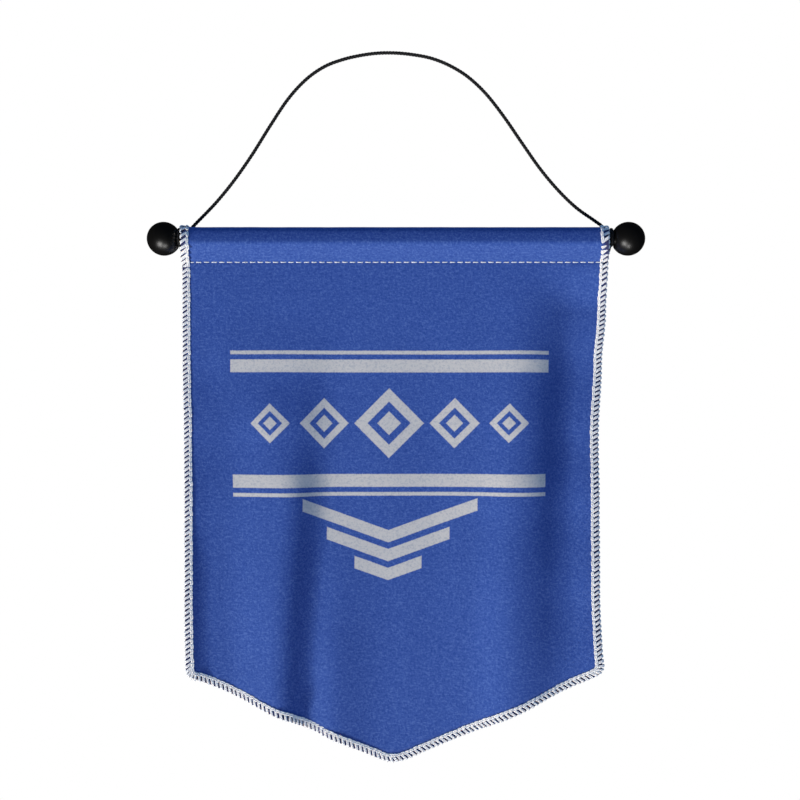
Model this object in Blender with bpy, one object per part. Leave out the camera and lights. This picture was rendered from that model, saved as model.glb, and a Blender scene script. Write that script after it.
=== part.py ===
"""A felt banner with a pointed lower edge, hung by a cord from a rod with ball ends.

Metres, +Z up. The front faces -Y. The origin is the place where a hook touches the
underside of the cord, so the whole banner hangs below it.
"""

import math

import bmesh
import bpy
import numpy as np
from mathutils import Vector

MM = 0.001
GAP = 0.3 * MM

# Rod, grooves for the cord and ball ends
ROD_RADIUS = 4.9 * MM
ROD_Y = -3.5 * MM
ROD_Z = -132.4 * MM
BALL_RADIUS = 12.0 * MM
BALL_X = 165.4 * MM
BALL_FLAT_RADIUS = 7.0 * MM
SOCKET_DEPTH = 13.0 * MM
GROOVE_RADIUS = 3.4 * MM
GROOVE_HALF_WIDTH = 1.7 * MM
GROOVE_FLOOR_SHARE = 0.75
KNOT_X = {"left": -154.35 * MM, "right": 153.3 * MM}

# Felt panel, flat sizes
FELT_THICKNESS = 2.2 * MM
FELT_HALF_WIDTH = 151.4 * MM
FELT_X = -0.8 * MM
PANEL_SIDE = 293.6 * MM
POINT_DROP = 64.3 * MM
CORNER_RADIUS = 7.0 * MM
TIP_RADIUS = 25.0 * MM
FLAP_BELOW_SEAM = 10.0 * MM
SEAM_DROP = 16.9 * MM
SEAM_BACK = 4.8 * MM
FLAP_STEP = 3.0 * MM
FLAP_STEP_AT_EDGING = 5.0 * MM
CREASE_FORWARD = 8.2 * MM
CREASE_DROP = 2.4 * MM
CREASE_TIGHTNESS = 1.8 * MM
LEAVE_ROD_TURN = math.radians(52.0)
LEAVE_ROD_REACH = 3.0 * MM
SEAM_BEND = 2.6 * MM
FLAP_SPREAD = 21.0 * MM
FLAP_SPREAD_RISE = 1.6

# Edging, a channel of thread round the cut edge
EDGING_WIDTH = 5.3 * MM
EDGING_THREAD = 0.5 * MM
EDGING_CLEARANCE = 0.35 * MM

# Cord
CORD_DIAMETER = 2.2 * MM
CORD_POINTS = 80
KNOT_REACH = 7.7 * MM
KNOT_BACK_TURN = math.radians(75.0)
KNOT_HALF = (1.0 * MM, 2.3 * MM, 2.3 * MM)

# The cord from the left knot over the hook to the right knot, centre line in millimetres
CORD_ROUTE = (
    # x, y, z
    (-153.6, 6.3, -127.6),
    (-148.7, 5.9, -124.4),
    (-142.7, 5.2, -118.6),
    (-129.7, 4.9, -105.2),
    (-116.6, 4.2, -89.4),
    (-103.5, 3.4, -71.0),
    (-90.5, 2.5, -50.6),
    (-77.5, 1.6, -31.5),
    (-64.5, 0.9, -17.6),
    (-51.6, 0.4, -8.7),
    (-38.7, 0.2, -3.7),
    (-25.8, 0.0, -0.7),
    (-12.9, 0.0, 1.0),
    (0.0, 0.0, 1.1),
    (12.9, 0.0, -0.2),
    (25.8, 0.1, -2.8),
    (38.7, 0.4, -7.9),
    (51.6, 0.8, -15.8),
    (64.5, 1.4, -27.7),
    (77.5, 2.2, -44.0),
    (90.5, 3.0, -62.6),
    (103.5, 3.8, -80.8),
    (116.6, 4.5, -96.2),
    (129.6, 5.0, -108.6),
    (142.6, 5.3, -117.8),
    (148.3, 5.9, -121.9),
    (152.4, 6.5, -127.2),
)

# How far the cloth tilts out of the plane across each fold, in degrees. A positive tilt comes
# forward towards the right. "top" and "bottom" say where the fold lies across the cloth.
TILT_STATIONS = (0.0, 0.12, 0.25, 0.42, 0.60, 0.80, 1.0)
FOLD_COLUMNS = ("top_mm", "bottom_mm", "half_width_mm", "tilt_deg")
FOLDS = (
    dict(zip(FOLD_COLUMNS, (-140.0, -140.0, 16.0, (0, 0, 0, 0, -3, -8, -8)))),
    dict(zip(FOLD_COLUMNS, (-104.0, -104.0, 28.0, (0, 1, 3, 7, 12, 16, 18)))),
    dict(zip(FOLD_COLUMNS, (-66.0, -70.0, 19.0, (0, 0, -3, -14, -32, -34, -31)))),
    dict(zip(FOLD_COLUMNS, (-46.0, -49.0, 16.0, (0, 0, 0, 2, 5, 9, 12)))),
    dict(zip(FOLD_COLUMNS, (-24.0, -24.0, 30.0, (0, 0, 0, -2, -4, -8, -9)))),
    dict(zip(FOLD_COLUMNS, (74.0, 70.0, 28.0, (0, 3, 8, 11, 9, 5, 3)))),
    dict(zip(FOLD_COLUMNS, (116.0, 107.0, 30.0, (0, -13, -27, -33, -30, -21, -9)))),
    dict(zip(FOLD_COLUMNS, (143.0, 143.0, 13.0, (0, 2, 4, 4, 3, 1, 0)))),
)
BOW_BACK = 2.5 * MM
DRIFT_LEFT = 1.6 * MM

# How finely the solids are divided
FLAP_ROWS = 4
BACK_ROWS = 2
OVER_ROD_ROWS = 7
FRONT_ROWS = 5
UNDER_ROWS = 6
PANEL_ROWS = 22
PANEL_ROW_SPREAD = 1.06
TURNED_SEGMENTS = 28
BALL_RINGS = 14
KNOT_SIDES = 8
ROUTE_STEPS = 12
PLAIN_COLUMNS = 21
CORNER_STEPS_MM = (0.0, 0.35, 1.3, 3.0, 5.4)
FOLD_SAMPLES = 605
NORMAL_REACH = 0.4 * MM


def clear_scene():
    for obj in list(bpy.data.objects):
        bpy.data.objects.remove(obj, do_unlink=True)


def material(name, colour, roughness, metallic=0.0):
    made = bpy.data.materials.new(name)
    made.use_nodes = True
    shader = made.node_tree.nodes["Principled BSDF"]
    shader.inputs["Base Color"].default_value = (*colour, 1.0)
    shader.inputs["Roughness"].default_value = roughness
    shader.inputs["Metallic"].default_value = metallic
    return made


def add_object(name, mesh, finish, smooth=True):
    obj = bpy.data.objects.new(name, mesh)
    bpy.context.scene.collection.objects.link(obj)
    mesh.materials.append(finish)
    if smooth:
        mesh.shade_smooth()
        mesh.set_sharp_from_angle(angle=math.radians(35.0))
    return obj


def smooth_step(value):
    value = min(max(value, 0.0), 1.0)
    return value * value * (3.0 - 2.0 * value)


def bezier(a, b, c, d, steps):
    """Points after a, up to and with d, of the cubic curve a, b, c, d."""
    found = []
    for i in range(1, steps + 1):
        t = i / steps
        k = 1.0 - t
        found.append(a * k**3 + b * 3 * k * k * t + c * 3 * k * t * t + d * t**3)
    return found


def sleeve_profile():
    """Middle of the felt's thickness from the flap's lower edge, up the back, over the rod and
    down the front to the seam: (y, z) from the rod's axis."""
    over = ROD_RADIUS + GAP + EDGING_THREAD + EDGING_CLEARANCE + FELT_THICKNESS / 2
    seam = np.array((SEAM_BACK, -SEAM_DROP))
    back_top = np.array((over, 0.0))
    points = []
    flap_end = seam + np.array((FLAP_STEP, -FLAP_BELOW_SEAM))
    flap_seam = seam + np.array((FLAP_STEP, 0.0))
    for i in range(FLAP_ROWS):
        points.append(flap_end + (flap_seam - flap_end) * i / FLAP_ROWS)
    for i in range(BACK_ROWS):
        points.append(flap_seam + (back_top - flap_seam) * i / BACK_ROWS)
    for i in range(OVER_ROD_ROWS + 1):
        turn = math.pi / 2 - (math.pi / 2 + LEAVE_ROD_TURN) * i / OVER_ROD_ROWS
        points.append(np.array((over * math.sin(turn), over * math.cos(turn))))
    leave = np.array((-math.cos(LEAVE_ROD_TURN), -math.sin(LEAVE_ROD_TURN)))
    down = np.array((0.0, -1.0))
    crease = np.array((-CREASE_FORWARD, -CREASE_DROP))
    above, below = crease - down * CREASE_TIGHTNESS, crease + down * CREASE_TIGHTNESS
    points += bezier(points[-1], points[-1] + leave * LEAVE_ROD_REACH, above, crease, FRONT_ROWS)
    points += bezier(crease, below, seam - down * SEAM_BEND, seam, UNDER_ROWS)
    return np.array(points)


PROFILE = sleeve_profile()
PROFILE_LENGTH = np.concatenate(
    ([0.0], np.cumsum(np.linalg.norm(np.diff(PROFILE, axis=0), axis=1)))
)
SLEEVE_LENGTH = PROFILE_LENGTH[-1]
FOLD_S = np.linspace(-FELT_HALF_WIDTH - EDGING_WIDTH, FELT_HALF_WIDTH + EDGING_WIDTH, FOLD_SAMPLES)


def tilt_across(down):
    """Tilt of the cloth at FOLD_S, in radians. down runs from 0 at the seam to 1 at the corners."""
    share = min(max(down, 0.0), 1.0)
    place = np.interp(share, TILT_STATIONS, range(len(TILT_STATIONS)))
    lower = min(int(place), len(TILT_STATIONS) - 2)
    blend = smooth_step(place - lower)
    total = np.zeros_like(FOLD_S)
    for fold in FOLDS:
        tilts = fold["tilt_deg"]
        tilt = tilts[lower] + (tilts[lower + 1] - tilts[lower]) * blend
        middle = (fold["top_mm"] + (fold["bottom_mm"] - fold["top_mm"]) * share) * MM
        off = np.clip((FOLD_S - middle) / (fold["half_width_mm"] * MM), -1.0, 1.0)
        total += math.radians(tilt) * 0.5 * (1.0 + np.cos(math.pi * off))
    return total


def fold_row(down):
    """Sideways place and forward depth at FOLD_S of a level row of the panel."""
    tilt = tilt_across(down)
    step = FOLD_S[1] - FOLD_S[0]
    across = np.cumsum(np.cos(tilt)) * step
    forward = np.cumsum(np.sin(tilt)) * step
    centre = len(FOLD_S) // 2
    return across - across[centre], forward - forward[centre]


def panel_point(s, length):
    """Middle of the thickness at s across and length below the seam."""
    down = length / PANEL_SIDE
    across, forward = fold_row(down)
    share = min(max(down, 0.0), 1.0)
    x = FELT_X - DRIFT_LEFT * share * share + np.interp(s, FOLD_S, across)
    bow = BOW_BACK * math.sin(math.pi * min(down, 1.0))
    y = ROD_Y + SEAM_BACK + bow - np.interp(s, FOLD_S, forward)
    return np.array((x, y, ROD_Z - SEAM_DROP - length))


def sleeve_point(s, length):
    """Middle of the thickness at s across; length runs from -SLEEVE_LENGTH, at the flap's lower
    edge, to 0 at the seam. Near the side edges the flap stands off to leave room for the edging."""
    along = length + SLEEVE_LENGTH
    y = np.interp(along, PROFILE_LENGTH, PROFILE[:, 0])
    z = np.interp(along, PROFILE_LENGTH, PROFILE[:, 1])
    edge = smooth_step(1.0 - (FELT_HALF_WIDTH - abs(s)) / FLAP_SPREAD)
    back = smooth_step(1.0 - along / PROFILE_LENGTH[FLAP_ROWS + BACK_ROWS])
    y += (FLAP_STEP_AT_EDGING - FLAP_STEP) * edge * min(1.0, back * FLAP_SPREAD_RISE)
    return np.array((FELT_X + s, ROD_Y + y, ROD_Z + z))


def cloth_middle(s, length):
    return panel_point(s, length) if length > 0.0 else sleeve_point(s, length)


def cloth_point(s, length, off):
    """A point of the cloth, off along its outward side (the front of the panel)."""
    higher = max(length - NORMAL_REACH, -SLEEVE_LENGTH)
    down = cloth_middle(s, length + NORMAL_REACH) - cloth_middle(s, higher)
    right = cloth_middle(s + NORMAL_REACH, length) - cloth_middle(s - NORMAL_REACH, length)
    normal = np.cross(down, right)
    normal /= np.linalg.norm(normal)
    return Vector(cloth_middle(s, length) - normal * off)


def point_line(s):
    """Length below the seam of the cut lower edge, with its tip and corners rounded."""
    slope = POINT_DROP / FELT_HALF_WIDTH
    turn = math.atan(slope)
    tip_half = TIP_RADIUS * math.sin(turn)
    s = abs(s)
    if s < tip_half:
        sharp = PANEL_SIDE + POINT_DROP
        arc_centre = sharp - TIP_RADIUS / math.cos(turn)
        return arc_centre + math.sqrt(TIP_RADIUS**2 - s * s)
    line = PANEL_SIDE + POINT_DROP - slope * s
    start = FELT_HALF_WIDTH - CORNER_RADIUS
    if s < start + CORNER_RADIUS * math.sin(turn):
        return line
    tangent = CORNER_RADIUS * math.tan((math.pi / 2 - turn) / 2)
    arc_centre = PANEL_SIDE - tangent
    return arc_centre + math.sqrt(max(CORNER_RADIUS**2 - (s - start) ** 2, 0.0))


def column_places():
    """Places across the cloth, closer together at the rounded corners."""
    corner = [FELT_HALF_WIDTH - step * MM for step in CORNER_STEPS_MM]
    inner = corner.pop()
    half = [inner * i / PLAIN_COLUMNS for i in range(1, PLAIN_COLUMNS + 1)] + corner[::-1]
    return [-s for s in reversed(half)] + [0.0] + half


def sleeve_rows():
    return [length - SLEEVE_LENGTH for length in PROFILE_LENGTH[:-1]]


def panel_rows(s):
    lowest = point_line(s)
    return [lowest * (i / PANEL_ROWS) ** PANEL_ROW_SPREAD for i in range(PANEL_ROWS + 1)]


def closed_mesh(name, sections):
    """A solid from sections of equal count: rings joined one to the next and capped at the ends."""
    bm = bmesh.new()
    rings = [[bm.verts.new(point) for point in section] for section in sections]
    count = len(rings[0])
    for first, second in zip(rings, rings[1:]):
        for i in range(count):
            k = (i + 1) % count
            bm.faces.new((first[i], first[k], second[k], second[i]))
    bm.faces.new(rings[0][::-1])
    bm.faces.new(rings[-1])
    bmesh.ops.triangulate(bm, faces=[face for face in bm.faces if len(face.verts) > 4])
    bmesh.ops.recalc_face_normals(bm, faces=bm.faces[:])
    mesh = bpy.data.meshes.new(name)
    bm.to_mesh(mesh)
    bm.free()
    return mesh


def felt_panel(finish):
    """The panel and its sleeve as one sheet of even thickness."""
    bm = bmesh.new()
    half = FELT_THICKNESS / 2
    sides = []
    for off in (half, -half):
        grid = []
        for s in column_places():
            lengths = sleeve_rows() + panel_rows(s)
            grid.append([bm.verts.new(cloth_point(s, length, off)) for length in lengths])
        sides.append(grid)
    front, rear = sides
    columns = len(front)
    rows = len(front[0])
    for i in range(columns - 1):
        for k in range(rows - 1):
            for grid in sides:
                bm.faces.new((grid[i][k], grid[i][k + 1], grid[i + 1][k + 1], grid[i + 1][k]))
    for i in range(columns - 1):
        for k in (0, rows - 1):
            bm.faces.new((front[i][k], front[i + 1][k], rear[i + 1][k], rear[i][k]))
    for k in range(rows - 1):
        for i in (0, columns - 1):
            bm.faces.new((front[i][k], front[i][k + 1], rear[i][k + 1], rear[i][k]))
    bmesh.ops.recalc_face_normals(bm, faces=bm.faces[:])
    mesh = bpy.data.meshes.new("felt_panel")
    bm.to_mesh(mesh)
    bm.free()
    return add_object("felt_panel", mesh, finish)


def edge_stations(side):
    """Where the cut edge runs, as (s, length), from the flap's end down the side and along the
    lower edge to the tip."""
    lengths = sleeve_rows() + panel_rows(FELT_HALF_WIDTH)
    stations = [(side * FELT_HALF_WIDTH, length) for length in lengths]
    half = [s for s in column_places() if s >= 0.0]
    for s in reversed(half[:-1]):
        stations.append((side * s, point_line(s)))
    return stations


def edging(name, side, finish):
    """A channel of thread that holds the cut edge between its two sides."""
    stations = edge_stations(side)
    inner = FELT_THICKNESS / 2 + EDGING_CLEARANCE
    outer = inner + EDGING_THREAD
    lip = -GAP - EDGING_THREAD
    depth = EDGING_WIDTH + lip
    section = (
        (lip, -outer),
        (depth, -outer),
        (depth, -inner),
        (-GAP, -inner),
        (-GAP, inner),
        (depth, inner),
        (depth, outer),
        (lip, outer),
    )
    sections = []
    last = len(stations) - 1
    for i, (s, length) in enumerate(stations):
        before = stations[max(i - 1, 0)]
        after = stations[min(i + 1, last)]
        run = np.array(after) - np.array(before)
        run /= np.linalg.norm(run)
        inward = np.array((run[1], -run[0])) * -side
        if i == last:
            inward = np.array((0.0, -1.0))
        ring = []
        for u, v in section:
            place_s, place_length = np.array((s, length)) + inward * u
            if i == last:
                place_s = side * GAP / 2
            ring.append(cloth_point(place_s, max(place_length, -SLEEVE_LENGTH), v))
        sections.append(ring)
    return add_object(name, closed_mesh(name, sections), finish)


def turned(name, profile, centre_x, side, finish):
    """A solid turned about the rod's axis from (distance outward, radius) points. The profile
    starts and ends on the axis."""
    bm = bmesh.new()
    verts = []
    for out, radius in profile:
        verts.append(bm.verts.new((side * out, 0.0, radius)))
    edges = [bm.edges.new(pair) for pair in zip(verts, verts[1:])]
    bmesh.ops.spin(
        bm,
        geom=verts + edges,
        cent=(0.0, 0.0, 0.0),
        axis=(1.0, 0.0, 0.0),
        angle=2.0 * math.pi,
        steps=TURNED_SEGMENTS,
        use_merge=True,
    )
    bmesh.ops.remove_doubles(bm, verts=bm.verts[:], dist=1e-6)
    bmesh.ops.recalc_face_normals(bm, faces=bm.faces[:])
    mesh = bpy.data.meshes.new(name)
    bm.to_mesh(mesh)
    bm.free()
    obj = add_object(name, mesh, finish)
    obj.location = (centre_x, ROD_Y, ROD_Z)
    return obj


def ball(name, side, finish):
    """A ball with a flat face and a blind bore on its inner side."""
    flat_turn = math.asin(BALL_FLAT_RADIUS / BALL_RADIUS)
    bore = ROD_RADIUS + GAP
    face = -BALL_RADIUS * math.cos(flat_turn)
    profile = [(face + SOCKET_DEPTH, 0.0), (face + SOCKET_DEPTH, bore), (face, bore)]
    for i in range(BALL_RINGS + 1):
        turn = flat_turn + (math.pi - flat_turn) * i / BALL_RINGS
        radius = BALL_RADIUS * math.sin(turn) if i < BALL_RINGS else 0.0
        profile.append((-BALL_RADIUS * math.cos(turn), radius))
    return turned(name, profile, side * BALL_X, side, finish)


def rod(finish):
    """The rod, with a shallow groove near each end where the cord is tied."""
    face = BALL_X - BALL_RADIUS * math.cos(math.asin(BALL_FLAT_RADIUS / BALL_RADIUS))
    end = face + SOCKET_DEPTH - GAP
    profile = [(-end, 0.0), (-end, ROD_RADIUS)]
    for knot_x in (KNOT_X["left"], KNOT_X["right"]):
        profile.append((knot_x - GROOVE_HALF_WIDTH, ROD_RADIUS))
        profile.append((knot_x - GROOVE_HALF_WIDTH * GROOVE_FLOOR_SHARE, GROOVE_RADIUS))
        profile.append((knot_x + GROOVE_HALF_WIDTH * GROOVE_FLOOR_SHARE, GROOVE_RADIUS))
        profile.append((knot_x + GROOVE_HALF_WIDTH, ROD_RADIUS))
    profile += [(end, ROD_RADIUS), (end, 0.0)]
    return turned("rod", profile, 0.0, 1.0, finish)


def knot(name, where, finish):
    """One turn of the cord in the rod's groove, with the knot standing at the back."""
    bm = bmesh.new()
    tube = CORD_DIAMETER / 2
    turn_radius = GROOVE_RADIUS + GAP + tube
    rings = []
    for i in range(TURNED_SEGMENTS):
        angle = 2.0 * math.pi * i / TURNED_SEGMENTS
        ring = []
        for k in range(KNOT_SIDES):
            bend = 2.0 * math.pi * k / KNOT_SIDES
            radius = turn_radius + tube * math.cos(bend)
            ring.append(
                bm.verts.new(
                    (tube * math.sin(bend), radius * math.sin(angle), radius * math.cos(angle))
                )
            )
        rings.append(ring)
    for i in range(TURNED_SEGMENTS):
        first, second = rings[i], rings[(i + 1) % TURNED_SEGMENTS]
        for k in range(KNOT_SIDES):
            n = (k + 1) % KNOT_SIDES
            bm.faces.new((first[k], first[n], second[n], second[k]))
    bmesh.ops.recalc_face_normals(bm, faces=bm.faces[:])
    mesh = bpy.data.meshes.new(name)
    bm.to_mesh(mesh)
    bm.free()
    turn = add_object(name, mesh, finish)
    turn.location = (where, ROD_Y, ROD_Z)

    lump = bmesh.new()
    bmesh.ops.create_uvsphere(lump, u_segments=14, v_segments=9, radius=1.0)
    bmesh.ops.scale(lump, vec=KNOT_HALF, verts=lump.verts[:])
    centre = (0.0, KNOT_REACH * math.sin(KNOT_BACK_TURN), KNOT_REACH * math.cos(KNOT_BACK_TURN))
    bmesh.ops.translate(lump, vec=centre, verts=lump.verts[:])
    lump_mesh = bpy.data.meshes.new(name + "_lump")
    lump.to_mesh(lump_mesh)
    lump.free()
    helper = bpy.data.objects.new(name + "_lump", lump_mesh)
    bpy.context.scene.collection.objects.link(helper)
    helper.location = turn.location
    helper.hide_render = True
    helper.display_type = "WIRE"
    join = turn.modifiers.new("Knot", "BOOLEAN")
    join.operation = "UNION"
    join.object = helper
    return turn


def catmull_rom(points, count):
    """Points, evenly spread by length, on a smooth curve through the given points."""
    knots = [points[0] * 2 - points[1], *points, points[-1] * 2 - points[-2]]
    dense = []
    for i in range(1, len(knots) - 2):
        a, b, c, d = knots[i - 1 : i + 3]
        for k in range(ROUTE_STEPS):
            t = k / ROUTE_STEPS
            dense.append(
                0.5
                * (
                    b * 2
                    + (c - a) * t
                    + (a * 2 - b * 5 + c * 4 - d) * t * t
                    + (b * 3 - a - c * 3 + d) * t**3
                )
            )
    dense.append(points[-1])
    lengths = [0.0]
    for first, second in zip(dense, dense[1:]):
        lengths.append(lengths[-1] + (second - first).length)
    spread = np.linspace(0.0, lengths[-1], count)
    axes = [np.interp(spread, lengths, [point[axis] for point in dense]) for axis in range(3)]
    return [Vector(point) for point in zip(*axes)]


def hang_cord(finish):
    """The free cord between the two knots."""
    route = [Vector(point) * MM for point in CORD_ROUTE]
    points = catmull_rom(route, CORD_POINTS)
    curve = bpy.data.curves.new("hang_cord", "CURVE")
    curve.dimensions = "3D"
    curve.bevel_depth = CORD_DIAMETER / 2
    curve.bevel_resolution = 2
    curve.use_fill_caps = True
    spline = curve.splines.new("POLY")
    spline.points.add(len(points) - 1)
    for target, point in zip(spline.points, points):
        target.co = (*point, 1.0)
    obj = bpy.data.objects.new("hang_cord", curve)
    bpy.context.scene.collection.objects.link(obj)
    curve.materials.append(finish)
    return obj


def build():
    clear_scene()
    felt = material("felt_blue", (0.035, 0.083, 0.332), 0.95)
    thread = material("thread_white", (0.72, 0.73, 0.76), 0.8)
    wood = material("painted_black", (0.008, 0.008, 0.009), 0.3)
    cord = material("cord_black", (0.01, 0.01, 0.011), 0.85)
    felt_panel(felt)
    edging("edging_left", -1.0, thread)
    edging("edging_right", 1.0, thread)
    rod(wood)
    for side_name, side in (("left", -1.0), ("right", 1.0)):
        ball("ball_" + side_name, side, wood)
        knot("cord_knot_" + side_name, KNOT_X[side_name], cord)
    hang_cord(cord)


build()
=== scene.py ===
"""Looks of a felt banner that hangs by a cord from a rod with ball ends.

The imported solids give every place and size. This script lays the visible cloth, thread, cord
and turned wood over them, and lights them as in a small product studio.
"""

import logging
import math
from dataclasses import dataclass, field
from enum import Enum

import bmesh
import bpy
import numpy as np
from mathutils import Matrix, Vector, noise


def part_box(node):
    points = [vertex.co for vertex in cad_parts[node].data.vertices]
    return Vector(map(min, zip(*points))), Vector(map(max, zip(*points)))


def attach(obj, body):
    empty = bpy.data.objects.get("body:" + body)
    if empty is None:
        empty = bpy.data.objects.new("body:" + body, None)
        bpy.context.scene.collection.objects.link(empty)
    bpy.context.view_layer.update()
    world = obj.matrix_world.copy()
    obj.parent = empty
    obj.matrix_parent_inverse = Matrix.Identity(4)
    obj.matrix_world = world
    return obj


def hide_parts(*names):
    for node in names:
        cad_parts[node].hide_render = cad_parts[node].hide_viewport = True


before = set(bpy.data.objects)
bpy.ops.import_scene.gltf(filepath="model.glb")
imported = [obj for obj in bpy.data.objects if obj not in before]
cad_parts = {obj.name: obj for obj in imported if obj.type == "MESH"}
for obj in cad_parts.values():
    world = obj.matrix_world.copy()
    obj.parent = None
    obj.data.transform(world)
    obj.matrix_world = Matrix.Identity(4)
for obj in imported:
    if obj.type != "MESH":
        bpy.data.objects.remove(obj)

LOG = logging.getLogger("banner")
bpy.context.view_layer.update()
MM = 0.001
BODY = "root"
CLOTH_UV = "cloth_metres"
UV_SHIFT = (0.2, 0.4)
# Name of the painted shade mask along the felt's cut edge.
PAINTED_EDGE_SHADE = "edge_shade"
PLY_ROUND = "ply_round"
PLY_ALONG = "ply_along"


class Slot(Enum):
    """Material slots of the record."""

    FELT = "felt"
    THREAD = "edge_thread"
    WOOD = "painted_wood"
    CORD = "cord"


class Side(Enum):
    """The two ends of the rod, with the sign of X there."""

    LEFT = -1
    RIGHT = 1


def middle_and_half(node: str) -> tuple[Vector, Vector]:
    """Gives the middle and the half size of a solid's box.

    Args:
        node: The solid's name.

    Returns:
        The middle point and half of each side, in metres.
    """
    low, high = (Vector(corner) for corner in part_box(node))
    return (low + high) / 2, (high - low) / 2


def smooth_step(value: np.ndarray | float) -> np.ndarray | float:
    """Rises smoothly from 0 to 1 as value does."""
    value = np.clip(value, 0.0, 1.0)
    return value * value * (3.0 - 2.0 * value)


def add_piece(name: str, mesh: bpy.types.Mesh, slot: Slot, *replaced: str) -> bpy.types.Object:
    """Puts a finished mesh in the scene and ties it to the frame.

    Args:
        name: The piece's name.
        mesh: Its mesh, in place.
        slot: Not used.
        replaced: The solids that it stands for.

    Returns:
        The new object.
    """
    piece = bpy.data.objects.new(name, mesh)
    bpy.context.scene.collection.objects.link(piece)
    tie_piece(piece, slot, *replaced)
    return piece


def tie_piece(piece: bpy.types.Object, slot: Slot, *replaced: str) -> None:
    """Rides a piece on the frame and reports it.

    Args:
        piece: The object.
        slot: Not used.
        replaced: The solids that it stands for.
    """
    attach(piece, BODY)
    if replaced:
        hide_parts(*replaced)
    piece.data.calc_loop_triangles()
    LOG.info("%s: %d triangles", piece.name, len(piece.data.loop_triangles))


class NodeSketch:
    """Adds nodes to a tree in few words."""

    def __init__(self, tree: bpy.types.NodeTree) -> None:
        """Starts on a tree, which may hold nodes already."""
        self.tree = tree
        self.column = 0

    def add(self, kind: str, inputs: dict | None = None, **settings: object) -> bpy.types.Node:
        """Adds a node.

        Args:
            kind: The node's type name.
            inputs: Socket name or place to a value, or to an output socket to link.
            settings: Properties of the node.

        Returns:
            The node.
        """
        node = self.tree.nodes.new(kind)
        self.column += 1
        node.location = (180 * (self.column // 6), -160 * (self.column % 6))
        for key, value in settings.items():
            setattr(node, key, value)
        for key, value in (inputs or {}).items():
            self.feed(node, key, value)
        return node

    def feed(self, node: bpy.types.Node, key: str | int, value: object) -> None:
        """Links an output socket to an input, or sets the input's value."""
        if isinstance(value, bpy.types.NodeSocket):
            self.tree.links.new(value, node.inputs[key])
        else:
            node.inputs[key].default_value = value

    def math(self, operation: str, *values: object, clamp: bool = False) -> bpy.types.NodeSocket:
        """Adds a Math node and gives its output."""
        inputs = dict(enumerate(values))
        kind = "ShaderNodeMath"
        return self.add(kind, inputs, operation=operation, use_clamp=clamp).outputs[0]

    def ramp(self, value: object, low: float, high: float, start: float = 0.0, end: float = 1.0
             ) -> bpy.types.NodeSocket:
        """Maps low..high to start..end, clamped, with a smooth step."""
        inputs = {0: value, 1: low, 2: high, 3: start, 4: end}
        node = self.add("ShaderNodeMapRange", inputs, interpolation_type="SMOOTHSTEP")
        return node.outputs[0]

    def noise(self, vector: object, scale: object, detail: float = 2.0, roughness: float = 0.5,
              distortion: float = 0.0) -> bpy.types.NodeSocket:
        """Adds a noise texture and gives its value."""
        inputs = {"Vector": vector, "Scale": scale, "Detail": detail, "Roughness": roughness,
                  "Distortion": distortion}
        return self.add("ShaderNodeTexNoise", inputs).outputs[0]

    def blend(self, factor: object, first: object, second: object) -> bpy.types.NodeSocket:
        """Mixes two colours and gives the result."""
        inputs = {0: factor, 6: first, 7: second}
        return self.add("ShaderNodeMix", inputs, data_type="RGBA").outputs[2]


def new_group(name: str, kind: str, inputs: dict[str, tuple], outputs: dict[str, str]
              ) -> tuple[NodeSketch, bpy.types.Node, bpy.types.Node]:
    """Starts a node group.

    Args:
        name: The group's name.
        kind: The type of tree.
        inputs: Socket name to (socket type, value), with None for no value.
        outputs: Socket name to socket type.

    Returns:
        A sketch on the group, its input node and its output node.
    """
    tree = bpy.data.node_groups.new(name, kind)
    for label, (socket, value) in inputs.items():
        made = tree.interface.new_socket(label, in_out="INPUT", socket_type=socket)
        if value is not None:
            made.default_value = value
    for label, socket in outputs.items():
        tree.interface.new_socket(label, in_out="OUTPUT", socket_type=socket)
    sketch = NodeSketch(tree)
    return sketch, sketch.add("NodeGroupInput"), sketch.add("NodeGroupOutput")


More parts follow.
